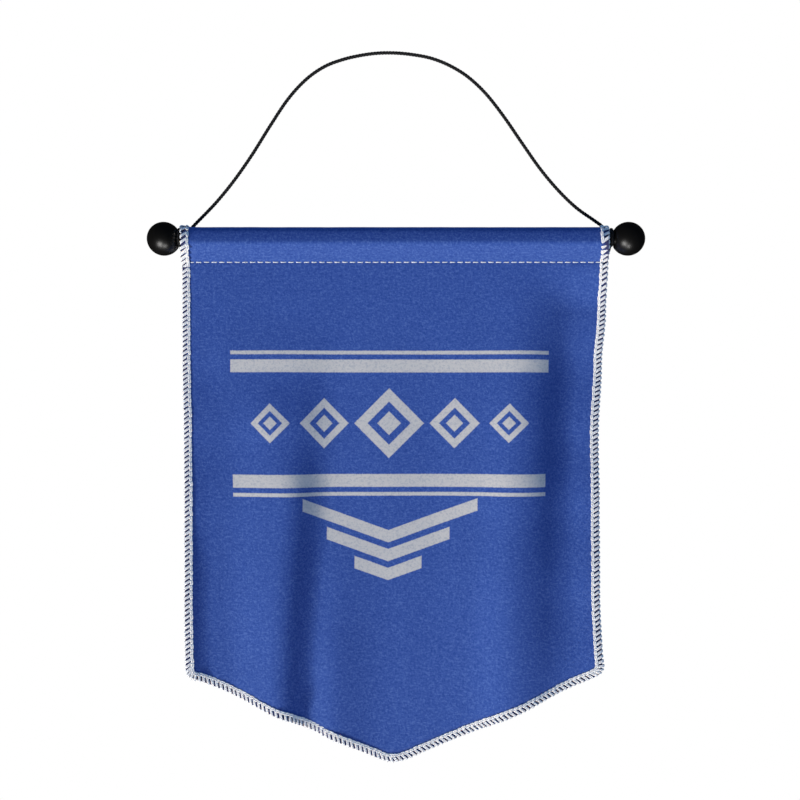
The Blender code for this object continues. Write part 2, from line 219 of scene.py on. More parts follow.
@dataclass(frozen=True)
class FibreGrain:
    """Matted or spun fibres: a height and a light and dark variation, as a shared group."""

    name: str = "fibre_grain"
    turns: tuple[float, ...] = (8.0, 49.0, 96.0, 143.0)
    stretch: float = 9.0

    def build(self) -> bpy.types.NodeTree:
        """Makes the group.

        Returns:
            A tree that takes a place in metres, the scale of single fibres and that of the
            clumps, and gives a height, a fine shade and a broad mottle, each from 0 to 1.
        """
        sketch, inward, outward = new_group(
            self.name, "ShaderNodeTree",
            {"Place": ("NodeSocketVector", None), "Fibre Scale": ("NodeSocketFloat", 3600.0),
             "Clump Scale": ("NodeSocketFloat", 700.0),
             "Mottle Scale": ("NodeSocketFloat", 90.0)},
            {"Height": "NodeSocketFloat", "Shade": "NodeSocketFloat",
             "Mottle": "NodeSocketFloat"},
        )
        place, fibre = inward.outputs["Place"], inward.outputs["Fibre Scale"]
        clump = inward.outputs["Clump Scale"]
        bent = self.bend(sketch, place, sketch.math("MULTIPLY", clump, 0.35), 1.6 * MM)
        fine = None
        bundles = None
        for number, turn in enumerate(self.turns):
            streak = self.streaks(sketch, bent, fibre, turn, 0.54, 0.70)
            fine = streak if fine is None else sketch.math("MAXIMUM", fine, streak)
            if number % 2:
                own = sketch.math("MULTIPLY", clump, 1.7)
                wide = self.streaks(sketch, bent, own, turn + 21.0, 0.50, 0.68)
                bundles = wide if bundles is None else sketch.math("MAXIMUM", bundles, wide)
        soft = sketch.ramp(sketch.noise(place, clump, 3.0, 0.6, 0.4), 0.34, 0.66)
        height = sketch.math("ADD", sketch.math("MULTIPLY", fine, 0.55),
                             sketch.math("MULTIPLY", soft, 0.45))
        shade = sketch.math("ADD", sketch.math("MULTIPLY", soft, 0.50),
                            sketch.math("MULTIPLY", bundles, 0.34))
        shade = sketch.math("ADD", shade, sketch.math("MULTIPLY", fine, 0.22), clamp=True)
        sketch.feed(outward, "Height", height)
        sketch.feed(outward, "Shade", shade)
        sketch.feed(outward, "Mottle", sketch.noise(place, inward.outputs["Mottle Scale"], 3.0))
        return sketch.tree

    def bend(self, sketch: NodeSketch, place: object, scale: object, reach: float
             ) -> bpy.types.NodeSocket:
        """Moves a place softly to and fro, so that straight streaks curl as fibres do."""
        node = sketch.add("ShaderNodeTexNoise", {"Vector": place, "Scale": scale,
                                                 "Detail": 1.0})
        centred = sketch.add("ShaderNodeVectorMath", {0: node.outputs["Color"],
                                                      1: (0.5, 0.5, 0.5)},
                             operation="SUBTRACT").outputs[0]
        scaled = sketch.add("ShaderNodeVectorMath", {0: centred, 1: (reach, reach, reach)},
                            operation="MULTIPLY").outputs[0]
        return sketch.add("ShaderNodeVectorMath", {0: place, 1: scaled},
                          operation="ADD").outputs[0]

    def streaks(self, sketch: NodeSketch, place: object, scale: object, turn: float,
                low: float, high: float) -> bpy.types.NodeSocket:
        """Draws thin streaks in one direction.

        Args:
            sketch: The sketch on the group.
            place: The place in metres.
            scale: The scale across the streaks.
            turn: Their direction in degrees.
            low: The noise value at which a streak begins.
            high: The value at which it is full.

        Returns:
            1 on a streak and 0 away from it.
        """
        angle = math.radians(turn)
        shift = 0.013 * turn
        turned = sketch.add("ShaderNodeMapping", {"Vector": place,
                                                  "Location": (shift, -shift, shift),
                                                  "Rotation": (angle * 0.6, 0.0, angle)})
        long = sketch.add("ShaderNodeMapping", {"Vector": turned.outputs[0],
                                                "Scale": (1.0 / self.stretch, 1.0, 1.0)})
        return sketch.ramp(sketch.noise(long.outputs[0], scale, 1.0), low, high)


@dataclass(frozen=True)
class PlyTwist:
    """The spiral of a twisted yarn, read from the place round it and along it."""

    name: str = "ply_twist"

    def build(self) -> bpy.types.NodeTree:
        """Makes the group.

        Returns:
            A tree that takes the length of one turn, and gives the height of the plies, from 0
            in the groove between two to 1 on top.
        """
        s, inward, outward = new_group(
            self.name, "ShaderNodeTree", {"Turn": ("NodeSocketFloat", 1.6 * MM)},
            {"Ply": "NodeSocketFloat"},
        )
        around = s.add("ShaderNodeAttribute", attribute_name=PLY_ROUND).outputs["Vector"]
        split = s.add("ShaderNodeSeparateXYZ", {0: around})
        along = s.add("ShaderNodeAttribute", attribute_name=PLY_ALONG).outputs["Fac"]
        x, y = split.outputs[0], split.outputs[1]
        double_sine = s.math("MULTIPLY", s.math("MULTIPLY", x, y), 2.0)
        double_cosine = s.math("SUBTRACT", s.math("MULTIPLY", x, x), s.math("MULTIPLY", y, y))
        turned = s.math("MULTIPLY", s.math("DIVIDE", along, inward.outputs["Turn"]), math.tau)
        wave = s.math("ADD", s.math("MULTIPLY", double_sine, s.math("COSINE", turned)),
                      s.math("MULTIPLY", double_cosine, s.math("SINE", turned)))
        s.feed(outward, "Ply", s.ramp(wave, -1.0, 0.2))
        return s.tree


@dataclass(frozen=True)
class PrintPattern:
    """A plain pattern of bars, diamonds and chevrons, as a mask on the cloth's flat sizes."""

    middle: float = -4.0 * MM
    reach: float = 114.0 * MM
    bar_rows: tuple[float, ...] = (74.0 * MM, 156.0 * MM)
    bar_half: float = 4.6 * MM
    thin_bar_step: float = 9.6 * MM
    thin_bar_half: float = 1.3 * MM
    diamond_row: float = 115.0 * MM
    diamonds: tuple[tuple[float, float], ...] = (
        (0.0, 25.0), (47.0, 18.0), (86.0, 14.0),
    )
    diamond_inset: float = 0.62
    diamond_core: float = 0.34
    chevron_peaks: tuple[float, ...] = (196.0 * MM, 209.5 * MM, 223.0 * MM)
    chevron_reaches: tuple[float, ...] = (64.0 * MM, 44.0 * MM, 24.0 * MM)
    chevron_slope: float = 0.36
    chevron_half: float = 4.0 * MM
    edge: float = 0.35 * MM

    def box(self, s: NodeSketch, x: object, y: object, row: float, half: float, reach: float
            ) -> bpy.types.NodeSocket:
        """Gives the distance outside a level bar, below zero inside it."""
        across = s.math("SUBTRACT", s.math("ABSOLUTE", x), reach)
        down = s.math("SUBTRACT", s.math("ABSOLUTE", s.math("SUBTRACT", y, row)), half)
        return s.math("MAXIMUM", across, down)

    def diamond(self, s: NodeSketch, x: object, y: object, place: float, half: float
                ) -> bpy.types.NodeSocket:
        """Gives the distance outside a pair of diamonds, one at each side of the middle."""
        across = s.math("ABSOLUTE", s.math("SUBTRACT", s.math("ABSOLUTE", x), place))
        down = s.math("ABSOLUTE", s.math("SUBTRACT", y, self.diamond_row))
        whole = s.math("SUBTRACT", s.math("ADD", across, down), half)
        gap = s.math("SUBTRACT", half * self.diamond_inset, s.math("ADD", across, down))
        core = s.math("SUBTRACT", s.math("ADD", across, down), half * self.diamond_core)
        ring = s.math("MAXIMUM", whole, gap)
        return s.math("MULTIPLY", s.math("MINIMUM", ring, core), 1.0 / math.sqrt(2.0))

    def chevron(self, s: NodeSketch, x: object, y: object, peak: float, reach: float
                ) -> bpy.types.NodeSocket:
        """Gives the distance outside a broad V that points down."""
        side = s.math("ABSOLUTE", x)
        line = s.math("SUBTRACT", peak, s.math("MULTIPLY", side, self.chevron_slope))
        down = s.math("SUBTRACT", s.math("ABSOLUTE", s.math("SUBTRACT", y, line)),
                      self.chevron_half * 1.1)
        return s.math("MAXIMUM", down, s.math("SUBTRACT", side, reach))

    def build(self) -> bpy.types.NodeTree:
        """Makes the group.

        Returns:
            A tree that takes the cloth's flat place and a wobble from 0 to 1, and gives a mask
            that is 1 where the print lies.
        """
        s, inward, outward = new_group(
            "print_pattern", "ShaderNodeTree",
            {"Place": ("NodeSocketVector", None), "Wobble": ("NodeSocketFloat", 0.5)},
            {"Mask": "NodeSocketFloat"},
        )
        split = s.add("ShaderNodeSeparateXYZ", {0: inward.outputs["Place"]})
        x = s.math("SUBTRACT", split.outputs[0], UV_SHIFT[0] + self.middle)
        y = s.math("SUBTRACT", UV_SHIFT[1], split.outputs[1])
        shapes = []
        for row, turn in zip(self.bar_rows, (-1.0, 1.0)):
            shapes.append(self.box(s, x, y, row, self.bar_half, self.reach))
            thin_row = row + turn * self.thin_bar_step
            shapes.append(self.box(s, x, y, thin_row, self.thin_bar_half, self.reach))
        for place, half in self.diamonds:
            shapes.append(self.diamond(s, x, y, place * MM, half * MM))
        for peak, reach in zip(self.chevron_peaks, self.chevron_reaches):
            shapes.append(self.chevron(s, x, y, peak, reach))
        nearest = shapes[0]
        for shape in shapes[1:]:
            nearest = s.math("MINIMUM", nearest, shape)
        wobble = s.math("MULTIPLY", s.math("SUBTRACT", inward.outputs["Wobble"], 0.5), 2.2)
        ragged = s.math("ADD", nearest, s.math("MULTIPLY", wobble, self.edge))
        s.feed(outward, "Mask", s.ramp(ragged, -self.edge, self.edge, 1.0, 0.0))
        return s.tree


@dataclass(frozen=True)
class FeltFinish:
    """Blue wool felt, bare or with the pale print."""

    name: str
    printed: bool
    base: tuple[float, float, float] = (0.0370, 0.0848, 0.306)
    deep: tuple[float, float, float] = (0.0198, 0.0545, 0.249)
    light: tuple[float, float, float] = (0.0700, 0.131, 0.378)
    # Painted shade: a dark greyish blue the felt takes along its cut edge, where the overlock bars
    # and chain shade it.
    edge: tuple[float, float, float] = (0.036, 0.036, 0.100)
    ink: tuple[float, float, float] = (0.60, 0.56, 0.50)
    ink_thin: tuple[float, float, float] = (0.45, 0.44, 0.43)

    def build(self, grain: bpy.types.NodeTree, pattern: bpy.types.NodeTree
              ) -> bpy.types.Material:
        """Makes the material.

        Args:
            grain: The shared fibre group.
            pattern: The print's mask group.

        Returns:
            The material.
        """
        made = bpy.data.materials.new(self.name)
        made.use_nodes = True
        s = NodeSketch(made.node_tree)
        shader = made.node_tree.nodes["Principled BSDF"]
        flat = s.add("ShaderNodeUVMap", uv_map=CLOTH_UV).outputs[0]
        fibres = s.add("ShaderNodeGroup", node_tree=grain)
        for key, value in (("Place", flat), ("Fibre Scale", 4200.0), ("Clump Scale", 560.0),
                           ("Mottle Scale", 170.0)):
            s.feed(fibres, key, value)
        shade, mottle = fibres.outputs["Shade"], fibres.outputs["Mottle"]
        tone = s.math("ADD", s.math("MULTIPLY", shade, 0.78), s.math("MULTIPLY", mottle, 0.26))
        dark = s.blend(s.ramp(tone, 0.05, 0.45), (*self.deep, 1.0), (*self.base, 1.0))
        colour = s.blend(s.ramp(tone, 0.45, 0.85), dark, (*self.light, 1.0))
        height = fibres.outputs["Height"]
        if self.printed:
            mask = s.add("ShaderNodeGroup", {}, node_tree=pattern)
            s.feed(mask, "Place", flat)
            s.feed(mask, "Wobble", s.noise(flat, 900.0, 3.0, 0.6))
            worn = s.ramp(tone, 0.15, 0.55)
            ink = s.blend(worn, (*self.ink_thin, 1.0), (*self.ink, 1.0))
            cover = s.math("MULTIPLY", mask.outputs["Mask"], 0.97)
            colour = s.blend(cover, colour, ink)
            height = s.math("ADD", height, s.math("MULTIPLY", mask.outputs["Mask"], 0.25))
        # Painted shade: the felt darkens to the edge colour along the cut edge, under the edging.
        sewn = s.add("ShaderNodeAttribute", attribute_name=PAINTED_EDGE_SHADE).outputs["Fac"]
        colour = s.blend(sewn, colour, (*self.edge, 1.0))
        bump = s.add("ShaderNodeBump", {"Height": height, "Strength": 0.50,
                                        "Distance": 0.22 * MM})
        s.feed(shader, "Base Color", colour)
        s.feed(shader, "Roughness", s.ramp(shade, 0.2, 0.8, 1.0, 0.86))
        s.feed(shader, "Normal", bump.outputs[0])
        shader.inputs["Specular IOR Level"].default_value = 0.15
        shader.inputs["Sheen Weight"].default_value = 0.18
        shader.inputs["Sheen Roughness"].default_value = 0.55
        shader.inputs["Sheen Tint"].default_value = (0.45, 0.55, 0.85, 1.0)
        return made


@dataclass(frozen=True)
class ThreadFinish:
    """Spun thread or cord of one colour, with its plies and fibres."""

    name: str
    base: tuple[float, float, float]
    shadow: tuple[float, float, float]
    turn: float
    fibre_scale: float
    roughness: float
    sheen: float
    bump: float
    glow: float = 0.0

    def build(self, grain: bpy.types.NodeTree, twist: bpy.types.NodeTree
              ) -> bpy.types.Material:
        """Makes the material.

        Args:
            grain: The shared fibre group.
            twist: The shared group of the plies.

        Returns:
            The material.
        """
        made = bpy.data.materials.new(self.name)
        made.use_nodes = True
        s = NodeSketch(made.node_tree)
        shader = made.node_tree.nodes["Principled BSDF"]
        body = s.add("ShaderNodeTexCoord").outputs["Object"]
        fibres = s.add("ShaderNodeGroup", node_tree=grain)
        for key, value in (("Place", body), ("Fibre Scale", self.fibre_scale),
                           ("Clump Scale", self.fibre_scale / 3.0),
                           ("Mottle Scale", self.fibre_scale / 20.0)):
            s.feed(fibres, key, value)
        plies = s.add("ShaderNodeGroup", node_tree=twist)
        s.feed(plies, "Turn", self.turn)
        ply = plies.outputs["Ply"]
        fuzz = s.math("MULTIPLY", s.math("ADD", fibres.outputs["Shade"],
                                         fibres.outputs["Mottle"]), 0.5)
        tone = s.math("ADD", s.math("MULTIPLY", fuzz, 0.45), s.math("MULTIPLY", ply, 0.55))
        colour = s.blend(s.ramp(tone, 0.10, 0.62), (*self.shadow, 1.0), (*self.base, 1.0))
        height = s.math("ADD", ply, s.math("MULTIPLY", fibres.outputs["Height"], 0.30))
        bump = s.add("ShaderNodeBump", {"Height": height, "Strength": self.bump,
                                        "Distance": 0.14 * MM})
        s.feed(shader, "Base Color", colour)
        s.feed(shader, "Roughness", s.ramp(tone, 0.2, 0.8, min(1.0, self.roughness + 0.06),
                                           self.roughness - 0.06))
        s.feed(shader, "Normal", bump.outputs[0])
        shader.inputs["Specular IOR Level"].default_value = 0.25
        shader.inputs["Sheen Weight"].default_value = self.sheen
        shader.inputs["Sheen Roughness"].default_value = 0.5
        shader.inputs["Subsurface Weight"].default_value = self.glow
        shader.inputs["Subsurface Radius"].default_value = (1.0, 0.9, 0.8)
        shader.inputs["Subsurface Scale"].default_value = 0.6 * MM
        return made


@dataclass(frozen=True)
class PaintedWoodFinish:
    """Black paint on turned wood, satin, with faint brush lines and a dusting of marks."""

    name: str = "painted_black_wood"
    paint: tuple[float, float, float] = (0.0034, 0.0031, 0.0028)
    rubbed: tuple[float, float, float] = (0.0080, 0.0075, 0.0070)

    def build(self) -> bpy.types.Material:
        """Makes the material.

        Returns:
            The material.
        """
        made = bpy.data.materials.new(self.name)
        made.use_nodes = True
        s = NodeSketch(made.node_tree)
        shader = made.node_tree.nodes["Principled BSDF"]
        body = s.add("ShaderNodeTexCoord").outputs["Object"]
        turned = s.add("ShaderNodeMapping", {"Vector": body, "Scale": (1500.0, 90.0, 90.0)})
        lathe = s.noise(turned.outputs[0], 1.0, 3.0, 0.6)
        specks = s.ramp(s.noise(body, 620.0, 3.0, 0.65), 0.62, 0.74)
        peel = s.noise(body, 260.0, 2.0)
        s.feed(shader, "Base Color", s.blend(specks, (*self.paint, 1.0), (*self.rubbed, 1.0)))
        rough = s.math("ADD", s.ramp(lathe, 0.3, 0.7, 0.32, 0.35),
                       s.math("MULTIPLY", specks, 0.12))
        s.feed(shader, "Roughness", rough)
        height = s.math("ADD", s.math("MULTIPLY", lathe, 0.10), peel)
        bump = s.add("ShaderNodeBump", {"Height": height, "Strength": 0.10,
                                        "Distance": 0.25 * MM})
        s.feed(shader, "Normal", bump.outputs[0])
        shader.inputs["Specular IOR Level"].default_value = 0.5
        return made


@dataclass(frozen=True)
class Fold:
    """A soft fold down the cloth: how far it tilts out of the plane, in degrees, at each level."""

    top: float
    bottom: float
    half_width: float
    tilts: tuple[float, ...]


@dataclass
class ClothForm:
    """The surface on which the felt hangs, from its flat sizes.

    A place on it is s, across from the middle, and length, down from the seam of the sleeve. A
    length below zero climbs the sleeve's front, goes over the rod and down the flap.
    """

    half_width: float = 152.3 * MM
    x_shift: float = -0.8 * MM
    thickness: float = 2.2 * MM
    panel_side: float = 292.5 * MM
    point_drop: float = 66.7 * MM
    corner_radius: float = 7.0 * MM
    tip_radius: float = 25.0 * MM
    flap_below_seam: float = 10.0 * MM
    seam_drop: float = 16.5 * MM
    seam_back: float = 3.9 * MM
    flap_step: float = 3.0 * MM
    flap_step_at_edging: float = 5.0 * MM
    flap_spread: float = 21.0 * MM
    crease_forward: float = 9.1 * MM
    crease_drop: float = 4.2 * MM
    crease_tightness: float = 0.8 * MM
    leave_rod_turn: float = math.radians(55.0)
    over_rod: float = 7.15 * MM
    bow_back: float = 1.5 * MM
    drift_left: float = 1.6 * MM
    levels: tuple[float, ...] = (0.0, 0.12, 0.25, 0.42, 0.60, 0.80, 1.0)
    folds: tuple[Fold, ...] = (
        Fold(-143.0, -143.0, 13.0, (0, 0, -1, -4, -12, -26, -26)),
        Fold(-128.0, -128.0, 14.0, (0, 3, 4, -1, -2, -3, -6)),
        Fold(-104.0, -104.0, 26.0, (0, -1, 2, 12, 11, 17, 17)),
        Fold(-76.0, -87.0, 15.0, (0, 1, -1, -3, 9, 7, 13)),
        Fold(-51.5, -73.0, 23.0, (0, -1, -7, -23, -40, -43, -42)),
        Fold(-38.0, -51.0, 15.0, (0, -1, 1, -2, -2, 8, 20)),
        Fold(-20.0, -28.0, 30.0, (0, 0, 0, 0, 1, -6, -12)),
        Fold(8.0, 8.0, 30.0, (0, 0, -2, -3, -2, 1, 2)),
        Fold(44.0, 44.0, 26.0, (0, 0, 3, 5, 6, 8, 6)),
        Fold(76.0, 70.0, 24.0, (0, 3, 7, 15, 22, 26, 28)),
        Fold(97.0, 88.0, 18.0, (0, -8, -10, -6, -4, -6, -2)),
        Fold(117.5, 109.0, 26.0, (0, -23, -35, -38, -34, -27, -20)),
        Fold(141.0, 140.0, 14.0, (0, -4, 2, 7, 12, 13, 9)),
    )
    left_reach: tuple[float, ...] = (151.4, 151.3, 150.9, 148.9, 147.3, 146.2, 145.1)
    right_reach: tuple[float, ...] = (151.4, 152.2, 149.8, 146.8, 146.5, 146.1, 148.0)
    sleeve_squeeze: float = 0.0105
    rows: int = 480
    samples: int = 605
    profile: np.ndarray = field(init=False)
    along: np.ndarray = field(init=False)
    across_table: np.ndarray = field(init=False)
    forward_table: np.ndarray = field(init=False)

    def __post_init__(self) -> None:
        """Works out the sleeve's profile and the tables of the folds."""
        self.rod, _ = middle_and_half("rod")
        self.profile = self.sleeve_profile()
        steps = np.linalg.norm(np.diff(self.profile, axis=0), axis=1)
        self.along = np.concatenate(([0.0], np.cumsum(steps)))
        self.sleeve_length = float(self.along[-1])
        self.flap_length = self.flap_below_seam + self.seam_drop
        wide = self.half_width + 6.0 * MM
        self.s_table = np.linspace(-wide, wide, self.samples)
        tilts = np.array([self.tilt_across(i / self.rows) for i in range(self.rows + 1)])
        step = self.s_table[1] - self.s_table[0]
        centre = self.samples // 2
        across = np.cumsum(np.cos(tilts), axis=1) * step
        forward = np.cumsum(np.sin(tilts), axis=1) * step
        self.across_table = across - across[:, centre : centre + 1]
        self.forward_table = forward - forward[:, centre : centre + 1]
        self.hold_side_edges()

    @property
    def lowest(self) -> float:
        """Length below the seam of the rounded tip."""
        return float(self.point_line(np.array(0.0)))

    @property
    def flat_area(self) -> float:
        """Area of the cut, in square metres."""
        straight = 2.0 * self.half_width * (self.sleeve_length + self.panel_side)
        return straight + self.half_width * self.point_drop

    def hold_side_edges(self) -> None:
        """Brings both side edges of each row to where the solids have them."""
        place = np.interp(np.linspace(0.0, 1.0, self.rows + 1), self.levels, range(7))
        for sign, reach in ((-1.0, self.left_reach), (1.0, self.right_reach)):
            lower = np.minimum(place.astype(int), 5)
            share = smooth_step(place - lower)
            wanted = np.array(reach)[lower] * (1 - share) + np.array(reach)[lower + 1] * share
            edge = int(np.argmin(np.abs(self.s_table - sign * self.half_width)))
            factor = (wanted + 0.9) * MM / np.abs(self.across_table[:, edge])
            half = self.s_table * sign > 0.0
            self.across_table[:, half] *= factor[:, None]

    def sleeve_profile(self) -> np.ndarray:
        """Traces the middle of the felt's thickness from the flap's lower edge to the seam.

        Returns:
            Points (y, z) from the rod's axis.
        """
        seam = np.array((self.seam_back, -self.seam_drop))
        flap_end = seam + np.array((self.flap_step, -self.flap_below_seam))
        flap_seam = seam + np.array((self.flap_step, 0.0))
        back_top = np.array((self.over_rod, 0.0))
        parts = [flap_end + (flap_seam - flap_end) * t for t in np.linspace(0, 1, 9)[:-1, None]]
        parts += [flap_seam + (back_top - flap_seam) * t
                  for t in np.linspace(0, 1, 13)[:-1, None]]
        turns = np.linspace(math.pi / 2, -self.leave_rod_turn, 41)
        parts += [self.over_rod * np.array((math.sin(t), math.cos(t))) for t in turns]
        down = np.array((0.0, -1.0))
        leave = np.array((-math.cos(self.leave_rod_turn), -math.sin(self.leave_rod_turn)))
        crease = np.array((-self.crease_forward, -self.crease_drop))
        above = crease - down * self.crease_tightness
        below = crease + down * self.crease_tightness
        for handles in ((parts[-1], parts[-1] + leave * 2.0 * MM, above, crease),
                        (crease, below, seam - down * 2.6 * MM, seam)):
            a, b, c, d = handles
            for t in np.linspace(0, 1, 31)[1:]:
                k = 1.0 - t
                parts.append(a * k**3 + b * 3 * k * k * t + c * 3 * k * t * t + d * t**3)
        return np.array(parts)

    def tilt_across(self, level: float) -> np.ndarray:
        """Adds up the folds' tilts across the cloth.

        Args:
            level: From 0 at the seam to 1 at the side corners.

        Returns:
            The tilt at each place of s_table, in radians.
        """
        place = float(np.interp(level, self.levels, range(len(self.levels))))
        lower = min(int(place), len(self.levels) - 2)
        share = smooth_step(place - lower)
        total = np.zeros(self.samples)
        for fold in self.folds:
            tilt = fold.tilts[lower] + (fold.tilts[lower + 1] - fold.tilts[lower]) * share
            middle = (fold.top + (fold.bottom - fold.top) * level) * MM
            off = np.clip((self.s_table - middle) / (fold.half_width * MM), -1.0, 1.0)
            total += math.radians(tilt) * 0.5 * (1.0 + np.cos(math.pi * off))
        return total

    def table_value(self, table: np.ndarray, s: np.ndarray, level: np.ndarray) -> np.ndarray:
        """Reads a fold table between its rows and columns."""
        row = np.clip(level, 0.0, 1.0) * self.rows
        low_row = np.minimum(row.astype(int), self.rows - 1)
        row_share = row - low_row
        column = (s - self.s_table[0]) / (self.s_table[1] - self.s_table[0])
        low = np.clip(column.astype(int), 0, self.samples - 2)
        share = column - low
        upper = table[low_row, low] * (1 - share) + table[low_row, low + 1] * share
        lower = table[low_row + 1, low] * (1 - share) + table[low_row + 1, low + 1] * share
        return upper * (1 - row_share) + lower * row_share

    def middle(self, s: np.ndarray, length: np.ndarray) -> np.ndarray:
        """Gives points of the middle of the thickness.

        Args:
            s: Places across.
            length: Lengths down from the seam.

        Returns:
            An array of points, in metres.
        """
        s, length = np.broadcast_arrays(np.asarray(s, float), np.asarray(length, float))
        level = length / self.panel_side
        share = np.clip(level, 0.0, 1.0)
        x = self.x_shift - self.drift_left * share**2 + self.table_value(
            self.across_table, s, level)
        bow = self.bow_back * np.sin(math.pi * share)
        y = self.rod.y + self.seam_back + bow - self.table_value(self.forward_table, s, level)
        z = self.rod.z - self.seam_drop - length
        panel = np.stack((x, y, z), axis=-1)
        walk = length + self.sleeve_length
        edge = smooth_step(1.0 - (self.half_width - np.abs(s)) / self.flap_spread)
        back = smooth_step(1.0 - walk / self.flap_length)
        step = (self.flap_step_at_edging - self.flap_step) * edge * np.minimum(1.0, back * 1.6)
        y = self.rod.y + np.interp(walk, self.along, self.profile[:, 0]) + step
        z = self.rod.z + np.interp(walk, self.along, self.profile[:, 1])
        forward = np.clip((self.rod.y - y) / (9.0 * MM), 0.0, 1.0)
        sleeve = np.stack((self.x_shift + s * (1.0 - self.sleeve_squeeze * forward), y, z), -1)
        return np.where((length > 0.0)[..., None], panel, sleeve)

    def frame_at(self, s: np.ndarray, length: np.ndarray, reach: float = 0.9 * MM
                 ) -> tuple[np.ndarray, np.ndarray, np.ndarray]:
        """Gives unit vectors of the cloth.

        Args:
            s: Places across.
            length: Lengths down from the seam.
            reach: How far to each side the slope is read.

        Returns:
            The directions of growing s, of growing length and outwards from the front.
        """
        right = self.middle(s + reach, length) - self.middle(s - reach, length)
        higher = np.maximum(length - reach, -self.sleeve_length)
        down = self.middle(s, length + reach) - self.middle(s, higher)
        right /= np.linalg.norm(right, axis=-1, keepdims=True)
        down /= np.linalg.norm(down, axis=-1, keepdims=True)
        outward = np.cross(down, right)
        outward /= np.linalg.norm(outward, axis=-1, keepdims=True)
        return right, down, outward

    def point(self, s: np.ndarray, length: np.ndarray, off: np.ndarray | float) -> np.ndarray:
        """Gives points off the middle of the thickness, outwards from the front."""
        outward = self.frame_at(s, length)[2]
        return self.middle(s, length) + outward * np.asarray(off)[..., None]

    def point_line(self, s: np.ndarray) -> np.ndarray:
        """Gives the length below the seam of the cut lower edge at s."""
        slope = self.point_drop / self.half_width
        turn = math.atan(slope)
        s = np.abs(s)
        sharp = self.panel_side + self.point_drop
        tip_centre = sharp - self.tip_radius / math.cos(turn)
        tip = tip_centre + np.sqrt(np.maximum(self.tip_radius**2 - s * s, 0.0))
        line = sharp - slope * s
        start = self.half_width - self.corner_radius
        tangent = self.corner_radius * math.tan((math.pi / 2 - turn) / 2)
        arc = self.panel_side - tangent + np.sqrt(
            np.maximum(self.corner_radius**2 - np.maximum(s - start, 0.0) ** 2, 0.0))
        line = np.where(s < start + self.corner_radius * math.sin(turn), line, arc)
        return np.where(s < self.tip_radius * math.sin(turn), tip, line)


